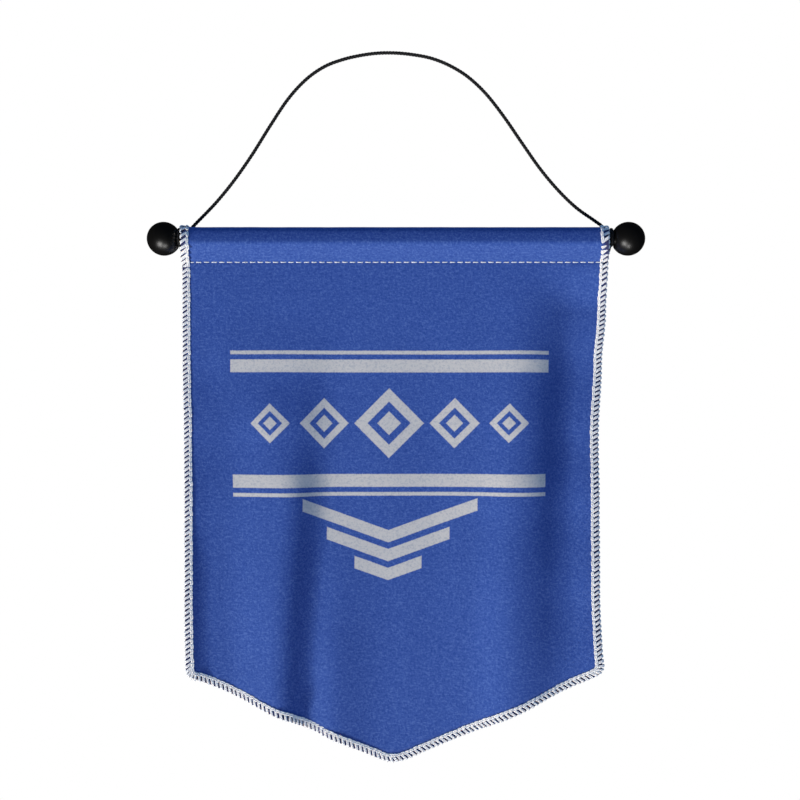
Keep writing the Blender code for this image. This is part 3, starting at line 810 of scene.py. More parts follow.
@dataclass
class FeltBanner:
    """The felt: its panel, sleeve, print and cut edges."""

    cloth: ClothForm
    columns: int = 104
    panel_rows: int = 128
    sleeve_rows: int = 64
    seam_groove: float = 0.34 * MM
    seam_width: float = 1.0 * MM
    stitch_pitch: float = 5.5 * MM
    edge_press: float = 0.30 * MM
    edge_press_reach: float = 5.0 * MM
    lumps: float = 0.10 * MM
    # Where the painted shade along the cut edge begins to fade out, and over what width.
    shade_from: float = 2.9 * MM
    shade_width: float = 1.8 * MM

    def across(self) -> np.ndarray:
        """Places of the columns, closer together at the side edges."""
        spread = np.linspace(-1.0, 1.0, self.columns + 1)
        eased = np.sin(spread * math.pi / 2)
        return self.cloth.half_width * (0.62 * spread + 0.38 * eased)

    def down(self, s: np.ndarray) -> np.ndarray:
        """Lengths of the rows of each column, with the seam on a row and rows close to it."""
        sleeve = np.linspace(-1.0, 0.0, self.sleeve_rows + 1)[:-1] * self.cloth.sleeve_length
        share = np.linspace(0.0, 1.0, self.panel_rows + 1)
        spread = 0.12 * share + 0.88 * (1.0 - np.cos(share * math.pi / 2)) ** 0.98
        spread = spread / spread[-1]
        panel = spread[None, :] * self.cloth.point_line(s)[:, None]
        return np.concatenate((np.repeat(sleeve[None, :], len(s), 0), panel), axis=1)

    def half_thickness(self, s: np.ndarray, length: np.ndarray) -> np.ndarray:
        """Half of the felt's thickness, pressed in at the seam and under the edging."""
        line = self.cloth.point_line(s)
        edge = np.minimum(self.cloth.half_width - np.abs(s), (line - length) * 0.92)
        press = self.edge_press * (1.0 - smooth_step(edge / self.edge_press_reach))
        stitch = 0.72 + 0.28 * np.cos(2.0 * math.pi * s / self.stitch_pitch)
        row = length - SleeveTopstitch.front_row
        groove = self.seam_groove * stitch * np.exp(-((row / self.seam_width) ** 2))
        walk = length + self.cloth.sleeve_length - self.cloth.flap_below_seam
        groove = groove + self.seam_groove * np.exp(-((walk / self.seam_width) ** 2))
        return self.cloth.thickness / 2 - press - groove

    def unevenness(self, points: np.ndarray) -> np.ndarray:
        """Soft lumps of hand-cut felt, as a height at each point."""
        found = np.empty(points.shape[:-1])
        for index in np.ndindex(found.shape):
            place = Vector(points[index])
            found[index] = noise.noise(place * 55.0) + 0.5 * noise.noise(place * 170.0)
        return found * self.lumps

    def build(self, printed: bpy.types.Material, plain: bpy.types.Material) -> None:
        """Makes the sheet.

        Args:
            printed: The finish of the front.
            plain: The finish of the back, the flap and the cut edges.
        """
        s = self.across()
        length = self.down(s)
        s_grid = np.repeat(s[:, None], length.shape[1], 1)
        half = self.half_thickness(s_grid, length)
        middle = self.cloth.middle(s_grid, length)
        outward = self.cloth.frame_at(s_grid, length)[2]
        lumps = self.unevenness(middle)
        layers = (middle + outward * (half + lumps)[..., None],
                  middle - outward * (half - lumps)[..., None])
        columns, rows = s_grid.shape
        count = columns * rows
        index = np.arange(count).reshape(columns, rows)
        corner = (index[:-1, :-1], index[:-1, 1:], index[1:, 1:], index[1:, :-1])
        front = np.stack(corner, -1).reshape(-1, 4)
        rear = np.stack(corner[::-1], -1).reshape(-1, 4) + count
        rims = []
        for line in (index[:, 0], index[-1, :], index[::-1, -1], index[0, ::-1]):
            rims.append(np.stack((line[:-1], line[1:], line[1:] + count, line[:-1] + count), -1))
        faces = np.concatenate((front, rear, *rims))
        mesh = bpy.data.meshes.new("felt_sheet")
        points = np.concatenate([layer.reshape(-1, 3) for layer in layers])
        mesh.from_pydata(points.tolist(), [], faces.tolist())
        flat = np.stack((s_grid + UV_SHIFT[0], UV_SHIFT[1] - length), -1).reshape(-1, 2)
        flat = np.concatenate((flat, flat))
        corners = np.empty(len(mesh.loops), np.int32)
        mesh.loops.foreach_get("vertex_index", corners)
        layer = mesh.uv_layers.new(name=CLOTH_UV)
        layer.uv.foreach_set("vector", flat[corners].astype(np.float32).ravel())
        # Painted shade: a mask that is 1 at the cut edge and fades to 0 a little inside, kept on
        # the points for the felt's material.
        line = self.cloth.point_line(s_grid)
        edge = np.minimum(self.cloth.half_width - np.abs(s_grid), (line - length) * 0.92)
        shade = 1.0 - smooth_step((edge - self.shade_from) / self.shade_width)
        kept = mesh.attributes.new(PAINTED_EDGE_SHADE, "FLOAT", "POINT")
        kept.data.foreach_set("value", np.tile(shade.ravel(), 2).astype(np.float32))
        mesh.materials.append(printed)
        mesh.materials.append(plain)
        slots = np.ones(len(faces), np.int32)
        slots[: len(front)] = 0
        mesh.polygons.foreach_set("material_index", slots)
        mesh.shade_smooth()
        mesh.set_sharp_from_angle(angle=math.radians(60.0))
        mesh.update()
        self.piece = add_piece("felt_sheet", mesh, Slot.FELT, "felt_panel")

    def declare(self) -> None:
        size = (2.0 * self.cloth.half_width, self.cloth.sleeve_length + self.cloth.lowest)


@dataclass(frozen=True)
class StitchGuide:
    """The line that one stitch's thread follows, in the stitch's own axes.

    X runs along the seam, Y inwards over the cloth and Z out of its front. Values are
    millimetres.
    """

    name: str
    points: tuple[tuple[float, float, float], ...]
    closed: bool = False

    def build(self) -> bpy.types.Object:
        """Makes a smooth curve through the points.

        Returns:
            The curve object, not linked to the scene.
        """
        curve = bpy.data.curves.new(self.name, "CURVE")
        curve.dimensions = "3D"
        spline = curve.splines.new("BEZIER")
        spline.bezier_points.add(len(self.points) - 1)
        for target, point in zip(spline.bezier_points, self.points):
            target.co = Vector(point) * MM
            target.handle_left_type = target.handle_right_type = "AUTO"
        spline.use_cyclic_u = self.closed
        return bpy.data.objects.new(self.name, curve)


@dataclass(frozen=True)
class StitchLayer:
    """One thread laid at each stitch: its guide, thickness, offset, facets and scatter."""

    guide: StitchGuide
    thread: float
    shifts: tuple[tuple[float, float, float], ...]
    facets: int
    steps: int
    flatten: float = 1.0


@dataclass
class StitchTree:
    """A Geometry Nodes tree that lays threads at stitch places along an edge."""

    name: str
    layers: tuple[StitchLayer, ...]
    finish: bpy.types.Material
    seed: int = 7
    jitter: float = 0.04

    def build(self) -> bpy.types.NodeTree:
        """Makes the tree.

        Returns:
            A tree whose inputs are the places, the thread scale, the scatter and the seed.
        """
        s, inward, outward = new_group(
            self.name, "GeometryNodeTree",
            {"Places": ("NodeSocketGeometry", None),
             "Thread Scale": ("NodeSocketFloat", 1.0),
             "Scatter": ("NodeSocketFloat", self.jitter),
             "Seed": ("NodeSocketInt", self.seed)},
            {"Stitches": "NodeSocketGeometry"},
        )
        travel = self.attribute(s, "travel")
        face = self.attribute(s, "face")
        stretch = self.attribute(s, "stretch", "FLOAT")
        turn = s.add("FunctionNodeAxesToRotation",
                     {"Primary Axis": travel, "Secondary Axis": face},
                     primary_axis="X", secondary_axis="Z")
        join = s.add("GeometryNodeJoinGeometry")
        for number, layer in enumerate(self.layers):
            self.add_layer(s, inward, turn.outputs[0], stretch, join, layer, number)
        solid = s.add("GeometryNodeRealizeInstances", {0: join.outputs[0]})
        smooth = s.add("GeometryNodeSetShadeSmooth", {0: solid.outputs[0]})
        dressed = s.add("GeometryNodeSetMaterial",
                        {"Geometry": smooth.outputs[0], "Material": self.finish})
        s.feed(outward, 0, dressed.outputs[0])
        return s.tree

    def attribute(self, s: NodeSketch, name: str, kind: str = "FLOAT_VECTOR"
                  ) -> bpy.types.NodeSocket:
        """Reads a value that the places carry."""
        node = s.add("GeometryNodeInputNamedAttribute", data_type=kind)
        node.inputs["Name"].default_value = name
        return node.outputs["Attribute"]

    def store(self, s: NodeSketch, geometry: bpy.types.NodeSocket, kind: str, name: str,
              value: bpy.types.NodeSocket) -> bpy.types.NodeSocket:
        """Keeps a value on each point of a curve, for the thread's material."""
        node = s.add("GeometryNodeStoreNamedAttribute", {"Geometry": geometry, "Name": name},
                     data_type=kind, domain="POINT")
        s.feed(node, "Value", value)
        return node.outputs[0]

    def random(self, s: NodeSketch, seed: bpy.types.NodeSocket, number: int,
               low: object, high: object) -> bpy.types.NodeSocket:
        """Draws a number for each stitch."""
        own_seed = s.math("ADD", seed, float(number))
        node = s.add("FunctionNodeRandomValue", data_type="FLOAT")
        s.feed(node, 2, low)
        s.feed(node, 3, high)
        s.feed(node, "Seed", own_seed)
        return node.outputs[1]

    def add_layer(self, s: NodeSketch, inward: bpy.types.Node, turn: bpy.types.NodeSocket,
                  stretch: bpy.types.NodeSocket, join: bpy.types.Node, layer: StitchLayer,
                  number: int) -> None:
        """Adds one thread to the tree.

        Args:
            s: The sketch on the tree.
            inward: The tree's input node.
            turn: Each place's rotation.
            stretch: How much longer than usual each stitch is along its seam.
            join: The node that gathers the threads.
            layer: The thread.
            number: The layer's place among the layers, which its random draws use.
        """
        seed, scatter = inward.outputs["Seed"], inward.outputs["Scatter"]
        guide = s.add("GeometryNodeObjectInfo", {"Object": layer.guide.build()})
        even = s.add("GeometryNodeResampleCurve", {"Curve": guide.outputs["Geometry"],
                                                   "Count": layer.steps})
        radius = s.math("MULTIPLY", inward.outputs["Thread Scale"], layer.thread / 2)
        ring = s.add("GeometryNodeCurvePrimitiveCircle", {"Resolution": layer.facets})
        s.feed(ring, "Radius", radius)
        flat = s.add("GeometryNodeTransform", {"Geometry": ring.outputs[0]})
        flat.inputs["Scale"].default_value = (1.0, layer.flatten, 1.0)
        spread = s.add("GeometryNodeSplineParameter")
        marked = self.store(s, even.outputs[0], "FLOAT", PLY_ALONG, spread.outputs["Length"])
        corner = s.add("GeometryNodeInputPosition")
        unit = s.add("ShaderNodeVectorMath", {0: corner.outputs[0]}, operation="NORMALIZE")
        profile = self.store(s, flat.outputs[0], "FLOAT_VECTOR", PLY_ROUND, unit.outputs[0])
        thread = s.add("GeometryNodeCurveToMesh", {"Curve": marked,
                                                   "Profile Curve": profile})
        thread.inputs["Fill Caps"].default_value = True
        less = s.math("SUBTRACT", 1.0, scatter)
        more = s.math("ADD", 1.0, scatter)
        for k, shift in enumerate(layer.shifts):
            draw = number * 10 + k
            moved = s.add("GeometryNodeTransform", {"Geometry": thread.outputs[0]})
            moved.inputs["Translation"].default_value = tuple(v * MM for v in shift)
            size = s.add("ShaderNodeCombineXYZ")
            for axis in range(3):
                share = self.random(s, seed, draw * 3 + axis, less, more)
                if axis == 0:
                    share = s.math("MULTIPLY", share, stretch)
                s.feed(size, axis, share)
            lean = s.math("MULTIPLY", self.random(s, seed, 500 + draw, -1.0, 1.0), scatter)
            roll = s.add("ShaderNodeCombineXYZ", {2: s.math("MULTIPLY", lean, 1.2)})
            own = s.add("FunctionNodeRotateRotation", {0: turn}, rotation_space="LOCAL")
            s.feed(own, 1, roll.outputs[0])
            laid = s.add("GeometryNodeInstanceOnPoints",
                         {"Points": inward.outputs["Places"], "Instance": moved.outputs[0],
                          "Rotation": own.outputs[0], "Scale": size.outputs[0]})
            s.tree.links.new(laid.outputs[0], join.inputs[0])

    def lay(self, name: str, places: np.ndarray, travel: np.ndarray, face: np.ndarray,
            stretch: np.ndarray, *replaced: str) -> bpy.types.Object:
        """Lays the stitches and keeps them as a plain mesh.

        Args:
            name: The piece's name.
            places: A point for each stitch.
            travel: The seam's direction at each.
            face: The cloth's outward direction at each.
            stretch: How much longer than usual each stitch is along the seam.
            replaced: The solids that the piece stands for.

        Returns:
            The piece.
        """
        mesh = bpy.data.meshes.new(name + "_places")
        mesh.from_pydata(places.tolist(), [], [])
        for label, values in (("travel", travel), ("face", face)):
            kept = mesh.attributes.new(label, "FLOAT_VECTOR", "POINT")
            kept.data.foreach_set("vector", values.astype(np.float32).ravel())
        kept = mesh.attributes.new("stretch", "FLOAT", "POINT")
        kept.data.foreach_set("value", stretch.astype(np.float32))
        holder = bpy.data.objects.new(name + "_places", mesh)
        bpy.context.scene.collection.objects.link(holder)
        modifier = holder.modifiers.new("Stitches", "NODES")
        modifier.node_group = self.build()
        for item in modifier.node_group.interface.items_tree:
            if item.item_type == "SOCKET" and item.in_out == "INPUT" and item.name == "Seed":
                modifier[item.identifier] = self.seed
        graph = bpy.context.evaluated_depsgraph_get()
        made = bpy.data.meshes.new_from_object(holder.evaluated_get(graph))
        made.name = name
        for kept in list(made.attributes):
            if kept.name in ("travel", "face", "stretch"):
                made.attributes.remove(kept)
        holder.modifiers.remove(modifier)
        bpy.data.objects.remove(holder, do_unlink=True)
        return add_piece(name, made, Slot.THREAD, *replaced)


@dataclass
class OverlockEdging:
    """White overlock stitches over the cut edge: slanted bars, and a chain on each face."""

    cloth: ClothForm
    pitch: float = 3.45 * MM
    crowd_at_corner: float = 0.78
    corner_reach: float = 8.0 * MM
    face_height: float = 1.30
    first_place: float = 0.12
    least_slope: float = 0.70

    def outline(self, side: Side) -> np.ndarray:
        """Traces the cut edge in the order in which it is sewn.

        Args:
            side: Which half of the banner.

        Returns:
            Closely spaced (s, length) from the flap's end down the left side to the tip, or
            from the tip up the right side to the flap's end.
        """
        half = self.cloth.half_width
        corner = float(self.cloth.point_line(np.array(half)))
        straight = np.linspace(-self.cloth.sleeve_length, corner, 1400)
        turn = np.sin(np.linspace(1.0, 0.0, 1200) * math.pi / 2) * half
        s = np.concatenate((np.full(len(straight) - 1, half), turn))
        length = np.concatenate((straight[:-1], self.cloth.point_line(turn)))
        path = np.stack((s * side.value, length), -1)
        return path if side is Side.LEFT else path[::-1]

    def stations(self, side: Side) -> tuple[np.ndarray, ...]:
        """Spaces the stitches along the edge, closer at the corners and longer on the sleeve.

        Args:
            side: Which half of the banner.

        Returns:
            Each stitch's place, the edge's direction there, the cloth's outward direction and
            how much longer than usual the stitch is.
        """
        path = self.outline(side)
        steps = np.linalg.norm(np.diff(path, axis=0), axis=1)
        walk = np.concatenate(([0.0], np.cumsum(steps)))
        corner = np.array((side.value * self.cloth.half_width, self.cloth.panel_side))
        away = np.linalg.norm(path - corner, axis=1)
        crowd = self.crowd_at_corner
        weight = 1.0 / (crowd + (1.0 - crowd) * smooth_step(away / self.corner_reach))
        slope = np.clip(np.abs(self.cloth.frame_at(*path.T)[1][:, 2]), self.least_slope, 1.0)
        slope = np.convolve(np.pad(slope, 20, "edge"), np.full(41, 1.0 / 41.0), "valid")
        weight = weight * slope
        density = np.concatenate(([0.0], np.cumsum(steps * (weight[1:] + weight[:-1]) / 2)))
        number = int(round(density[-1] / self.pitch))
        share = (np.arange(number) + self.first_place) / number
        at = np.interp(share * density[-1], density, walk)
        s = np.interp(at, walk, path[:, 0])
        length = np.interp(at, walk, path[:, 1])
        reach = 1.2 * MM
        ahead = np.stack([np.interp(at + reach, walk, path[:, k]) for k in (0, 1)], -1)
        behind = np.stack([np.interp(at - reach, walk, path[:, k]) for k in (0, 1)], -1)
        run = ahead - behind
        run /= np.linalg.norm(run, axis=1, keepdims=True)
        right, down, outward = self.cloth.frame_at(s, length)
        travel = right * run[:, :1] + down * run[:, 1:]
        stretch = 1.0 / np.interp(at, walk, slope)
        return (self.cloth.middle(s, length), self.settle(travel), self.settle(outward),
                stretch)

    def settle(self, directions: np.ndarray) -> np.ndarray:
        """Evens directions out between neighbours, as thread does over a sharp bend."""
        padded = np.pad(directions, ((3, 3), (0, 0)), "edge")
        shares = (0.07, 0.14, 0.18, 0.22, 0.18, 0.14, 0.07)
        even = sum(share * padded[k : k + len(directions)] for k, share in enumerate(shares))
        return even / np.linalg.norm(even, axis=1, keepdims=True)

    def layers(self) -> tuple[StitchLayer, ...]:
        """Describes the threads of one stitch: the bar round the edge, and both chains."""
        h = self.face_height
        front = ((0.10, 4.7, h - 0.55), (0.30, 4.2, h), (1.0, 3.0, h + 0.14),
                 (1.75, 1.8, h + 0.14), (2.45, 0.6, h), (2.85, -0.22, 0.78))
        back = tuple((x, y, -z) for x, y, z in reversed(front))
        bar = StitchGuide("overlock_bar", (*front, (2.95, -0.42, 0.0), *back))
        loop = ((-0.3, 4.62, h - 0.25), (0.6, 4.98, h - 0.02), (1.9, 5.24, h + 0.10),
                (3.4, 4.70, h - 0.02), (2.1, 4.16, h + 0.22), (0.7, 4.18, h + 0.10))
        chain = StitchGuide("overlock_chain", loop, closed=True)
        under = StitchGuide("overlock_chain_under", tuple((x, y, -z) for x, y, z in loop), True)
        strands = ((-0.60, 0.0, 0.0), (0.0, 0.0, 0.05), (0.60, 0.0, 0.0))
        return (StitchLayer(bar, 0.84 * MM, strands, 7, 16),
                StitchLayer(chain, 1.12 * MM, ((0.0, 0.0, 0.0),), 7, 14),
                StitchLayer(under, 1.12 * MM, ((0.0, 0.0, 0.0),), 6, 12))

    def build(self, finish: bpy.types.Material) -> list[bpy.types.Object]:
        """Makes both runs of the edging.

        Args:
            finish: The thread's material.

        Returns:
            The two pieces.
        """
        made = []
        for seed, side in enumerate(Side, start=11):
            label = side.name.lower()
            tree = StitchTree("overlock_" + label, self.layers(), finish, seed)
            made.append(tree.lay("overlock_" + label, *self.stations(side), "edging_" + label))
        return made


@dataclass
class SleeveTopstitch:
    """The row of stitches that closes the sleeve."""

    cloth: ClothForm
    pitch: float = 5.5 * MM
    margin: float = 5.2 * MM
    front_row: float = -0.5 * MM

    def build(self, finish: bpy.types.Material) -> list[bpy.types.Object]:
        """Makes the row on the front and on the flap.

        Args:
            finish: The thread's material.

        Returns:
            The two pieces.
        """
        reach = self.cloth.half_width - self.margin
        number = int(2.0 * reach / self.pitch)
        s = (np.arange(number + 1) - number / 2) * self.pitch
        half = self.cloth.thickness / 2
        rows = (("topstitch_front", self.front_row, half - 0.10 * MM),
                ("topstitch_back", self.cloth.flap_below_seam - self.cloth.sleeve_length,
                 half - 0.10 * MM))
        dash = StitchGuide("topstitch_thread", (
            (-1.98, 0.0, -0.7), (-1.72, 0.0, -0.05), (-0.9, 0.03, 0.17), (0.9, -0.03, 0.17),
            (1.72, 0.0, -0.05), (1.98, 0.0, -0.7)))
        pair = ((0.0, 0.13, 0.0), (0.0, -0.13, 0.0))
        layer = StitchLayer(dash, 0.46 * MM, pair, 8, 14)
        made = []
        for seed, (name, length, off) in enumerate(rows, start=31):
            lengths = np.full(len(s), length)
            right, _, outward = self.cloth.frame_at(s, lengths)
            places = self.cloth.middle(s, lengths) + outward * off
            tree = StitchTree(name, (layer,), finish, seed, 0.03)
            made.append(tree.lay(name, places, right, outward, np.ones(len(s))))
        return made


@dataclass
class Rope:
    """A thin cord laid from three strands round a path."""

    diameter: float = 2.2 * MM
    strands: int = 3
    facets: int = 10
    lay: float = 6.6 * MM
    step: float = 0.55 * MM
    strand_share: float = 0.335
    fuzz: float = 1.20

    def spread(self, points: list[Vector]) -> np.ndarray:
        """Spaces points evenly on a smooth curve.

        Args:
            points: The points that the curve passes through.

        Returns:
            Evenly spaced points.
        """
        ends = [points[0] * 2 - points[1], *points, points[-1] * 2 - points[-2]]
        dense = []
        for i in range(1, len(ends) - 2):
            a, b, c, d = ends[i - 1 : i + 3]
            for t in np.linspace(0.0, 1.0, 24, endpoint=False):
                dense.append(0.5 * (b * 2 + (c - a) * t + (a * 2 - b * 5 + c * 4 - d) * t * t
                                    + (b * 3 - a - c * 3 + d) * t**3))
        dense.append(points[-1])
        line = np.array(dense)
        walk = np.concatenate(([0.0], np.cumsum(np.linalg.norm(np.diff(line, axis=0), axis=1))))
        count = max(8, int(walk[-1] / self.step) + 1)
        even = np.linspace(0.0, walk[-1], count)
        return np.stack([np.interp(even, walk, line[:, k]) for k in range(3)], -1)

    def frames(self, line: np.ndarray) -> tuple[np.ndarray, np.ndarray, np.ndarray]:
        """Carries a frame along a line without twist.

        Args:
            line: Evenly spaced points.

        Returns:
            The tangent and two unit vectors square to it, at each point.
        """
        tangent = np.gradient(line, axis=0)
        tangent /= np.linalg.norm(tangent, axis=1, keepdims=True)
        side = np.empty_like(line)
        start = np.cross(tangent[0], (0.0, 1.0, 0.02))
        side[0] = start / np.linalg.norm(start)
        for i in range(1, len(line)):
            carried = side[i - 1] - tangent[i] * np.dot(side[i - 1], tangent[i])
            side[i] = carried / np.linalg.norm(carried)
        return tangent, side, np.cross(tangent, side)

    def mesh(self, name: str, line: np.ndarray, finish: bpy.types.Material) -> bpy.types.Mesh:
        """Lays the strands round a line.

        Args:
            name: The mesh's name.
            line: Evenly spaced points.
            finish: The cord's material.

        Returns:
            The mesh, closed at its ends.
        """
        tangent, side, other = self.frames(line)
        walk = np.arange(len(line)) * np.linalg.norm(line[1] - line[0])
        strand = self.diameter * self.strand_share * self.fuzz
        offset = self.diameter * self.fuzz / 2 - strand
        ring = np.linspace(0.0, 2.0 * math.pi, self.facets, endpoint=False)
        taper = np.minimum(1.0, 0.72 + walk / self.diameter * 0.5)
        taper = np.minimum(taper, taper[::-1])
        points, faces = [], []
        for n in range(self.strands):
            phase = 2.0 * math.pi * (walk / self.lay + n / self.strands)
            radial = side * np.cos(phase)[:, None] + other * np.sin(phase)[:, None]
            round_axis = np.cross(tangent, radial)
            centre = line + radial * (offset * taper)[:, None]
            base = len(points) * len(line) * self.facets
            turn = (radial[:, None, :] * np.cos(ring)[None, :, None]
                    + round_axis[:, None, :] * np.sin(ring)[None, :, None])
            points.append(centre[:, None, :] + turn * (strand * taper)[:, None, None])
            index = base + np.arange(len(line) * self.facets).reshape(len(line), self.facets)
            ahead = np.roll(index, -1, axis=1)
            quads = np.stack((index[:-1], ahead[:-1], ahead[1:], index[1:]), -1)
            faces += quads.reshape(-1, 4).tolist()
            faces += [index[0, ::-1].tolist(), index[-1].tolist()]
        made = bpy.data.meshes.new(name)
        made.from_pydata(np.concatenate(points).reshape(-1, 3).tolist(), [], faces)
        count = self.strands * len(line)
        around = np.stack((np.cos(ring), np.sin(ring), np.zeros_like(ring)), -1)
        kept = made.attributes.new(PLY_ROUND, "FLOAT_VECTOR", "POINT")
        kept.data.foreach_set("vector", np.tile(around, (count, 1)).astype(np.float32).ravel())
        kept = made.attributes.new(PLY_ALONG, "FLOAT", "POINT")
        lengths = np.tile(np.repeat(walk, self.facets), self.strands)
        kept.data.foreach_set("value", lengths.astype(np.float32))
        made.materials.append(finish)
        made.shade_smooth()
        made.set_sharp_from_angle(angle=math.radians(60.0))
        return made


@dataclass
class HangingCord:
    """The cord over the hook, with a turn and a knot round the rod at each end."""

    rope: Rope = field(default_factory=Rope)
    route: tuple[tuple[float, float, float], ...] = (
        (-153.6, 6.3, -127.6), (-148.7, 5.9, -124.4), (-142.7, 5.2, -118.6),
        (-129.7, 4.9, -105.2), (-116.6, 4.2, -89.4), (-103.5, 3.4, -71.0),
        (-90.5, 2.5, -50.6), (-77.5, 1.6, -31.5), (-64.5, 0.9, -17.6),
        (-51.6, 0.4, -8.7), (-38.7, 0.2, -3.7), (-25.8, 0.0, -0.7), (-12.9, 0.0, 1.0),
        (0.0, 0.0, 1.1), (12.9, 0.0, -0.2), (25.8, 0.1, -2.8), (38.7, 0.4, -7.9),
        (51.6, 0.8, -15.8), (64.5, 1.4, -27.7), (77.5, 2.2, -44.0), (90.5, 3.0, -62.6),
        (103.5, 3.8, -80.8), (116.6, 4.5, -96.2), (129.6, 5.0, -108.6),
        (142.6, 5.3, -117.8), (148.3, 5.9, -121.9), (152.4, 6.5, -127.2),
    )
    groove_radius: float = 3.4 * MM
    knot_reach: float = 7.4 * MM
    loose_top: float = 1.8 * MM

    def knot_path(self, side: Side) -> list[Vector]:
        """Traces the cord's end: in from the free cord, once round the rod in its groove, over
        itself at the back and out in a short tail.

        Args:
            side: Which end of the rod.

        Returns:
            The points of the path.
        """
        middle, _ = middle_and_half("cord_knot_" + side.name.lower())
        rod, _ = middle_and_half("rod")
        radius = self.groove_radius + self.rope.diameter / 2 + 0.15 * MM
        inward = -side.value

        def place(turn_deg: float, reach: float, across: float) -> Vector:
            """A point round the rod, its turn counted from the top to the back."""
            turn = math.radians(turn_deg)
            return Vector((middle.x + inward * across * MM, rod.y + reach * math.sin(turn),
                           rod.z + reach * math.cos(turn)))

        lump = self.knot_reach
        path = [place(58, lump + 1.2 * MM, 0.35), place(72, lump - 0.2 * MM, 0.1),
                place(95, radius + 0.7 * MM, -0.05)]
        for turn in range(125, 360, 38):
            lift = self.loose_top * max(0.0, math.cos(math.radians(turn)))
            path.append(place(turn, radius + lift, 0.0))
        path += [place(388, radius + self.loose_top, 0.05), place(420, lump - 0.7 * MM, 0.45),
                 place(442, lump + 0.6 * MM, 0.25), place(462, lump + 1.0 * MM, -0.35),
                 place(476, lump + 0.2 * MM, -0.55), place(488, lump + 1.4 * MM, -0.1),
                 place(500, lump + 2.6 * MM, 0.3)]
        return path

    def build(self, finish: bpy.types.Material) -> None:
        """Args:
            finish: The cord's material.
        """
        for side in Side:
            label = "cord_knot_" + side.name.lower()
            line = self.rope.spread(self.knot_path(side))
            mesh = self.rope.mesh("tied_" + label, line, finish)
            add_piece("tied_" + label, mesh, Slot.CORD, label)
        points = [Vector(point) * MM for point in self.route]
        line = self.rope.spread(points)
        cord = add_piece("laid_cord", self.rope.mesh("laid_cord", line, finish), Slot.CORD,
                         "hang_cord")


@dataclass
class TurnedWood:
    """The rod and its ball ends, turned and painted black."""

    segments: int = 72
    ball_steps: int = 40
    flat_radius: float = 7.0 * MM
    bore_radius: float = 5.2 * MM
    socket_depth: float = 13.0 * MM
    rim: float = 0.5 * MM
    groove_radius: float = 3.4 * MM
    groove_half: float = 1.7 * MM

    def turn(self, name: str, profile: list[tuple[float, float]], middle: Vector, side: int,
             finish: bpy.types.Material) -> bpy.types.Mesh:
        """Turns a profile about the rod's axis.

        Args:
            name: The mesh's name.
            profile: (distance outward, radius) from one end of the axis to the other.
            middle: The point from which distances are counted.
            side: The sign of X that counts as outward.
            finish: The material.

        Returns:
            The mesh, in place.
        """
        rings = []
        for out, radius in profile:
            turns = np.linspace(0.0, 2.0 * math.pi, self.segments, endpoint=False)
            if radius <= 0.0:
                turns = turns[:1]
            rings.append([(middle.x + side * out, middle.y + radius * math.sin(t),
                           middle.z + radius * math.cos(t)) for t in turns])
        bm = bmesh.new()
        verts = [[bm.verts.new(point) for point in ring] for ring in rings]
        for first, second in zip(verts, verts[1:]):
            for i in range(self.segments):
                k = (i + 1) % self.segments
                ring = [first[i % len(first)], first[k % len(first)],
                        second[k % len(second)], second[i % len(second)]]
                kept = list(dict.fromkeys(ring))
                if len(kept) > 2:
                    bm.faces.new(kept)
        bmesh.ops.recalc_face_normals(bm, faces=bm.faces[:])
        mesh = bpy.data.meshes.new(name)
        bm.to_mesh(mesh)
        bm.free()
        mesh.materials.append(finish)
        mesh.shade_smooth()
        mesh.set_sharp_from_angle(angle=math.radians(50.0))
        return mesh

    def ball_profile(self, radius: float) -> list[tuple[float, float]]:
        """Traces a ball with an eased flat face and a blind bore on its inner side."""
        flat_turn = math.asin(self.flat_radius / radius)
        face = -radius * math.cos(flat_turn)
        floor = face + self.socket_depth
        profile = [(floor, 0.0), (floor, self.bore_radius), (face + self.rim, self.bore_radius),
                   (face, self.bore_radius + self.rim)]
        for step in np.linspace(0.0, 1.0, self.ball_steps + 1)[:-1]:
            turn = flat_turn + (math.pi - flat_turn) * step
            profile.append((-radius * math.cos(turn), radius * math.sin(turn)))
        profile.append((radius, 0.0))
        return profile

    def rod_profile(self, half: float, radius: float) -> list[tuple[float, float]]:
        """Traces the rod with its cord grooves and eased ends."""
        profile = [(-half, 0.0), (-half, radius - self.rim), (-half + self.rim, radius)]
        for side in Side:
            knot, _ = middle_and_half("cord_knot_" + side.name.lower())
            rod, _ = middle_and_half("rod")
            centre = knot.x - rod.x
            for step in np.linspace(-1.0, 1.0, 9):
                dip = (radius - self.groove_radius) * math.sqrt(1.0 - step * step)
                profile.append((centre + self.groove_half * step, radius - dip))
        profile += [(half - self.rim, radius), (half, radius - self.rim), (half, 0.0)]
        return profile

    def build(self, finish: bpy.types.Material) -> None:
        """Makes the rod and both balls.

        Args:
            finish: The painted wood.
        """
        middle, half = middle_and_half("rod")
        mesh = self.turn("turned_rod", self.rod_profile(half.x, half.z), middle, 1, finish)
        add_piece("turned_rod", mesh, Slot.WOOD, "rod")
        for side in Side:
            node = "ball_" + side.name.lower()
            low, high = (Vector(corner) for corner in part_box(node))
            radius = (high.z - low.z) / 2
            outer = low.x if side is Side.LEFT else high.x
            centre = Vector((outer - side.value * radius, (low.y + high.y) / 2,
                             (low.z + high.z) / 2))
            profile = self.ball_profile(radius)
            mesh = self.turn("turned_" + node, profile, centre, side.value, finish)
            add_piece("turned_" + node, mesh, Slot.WOOD, node)


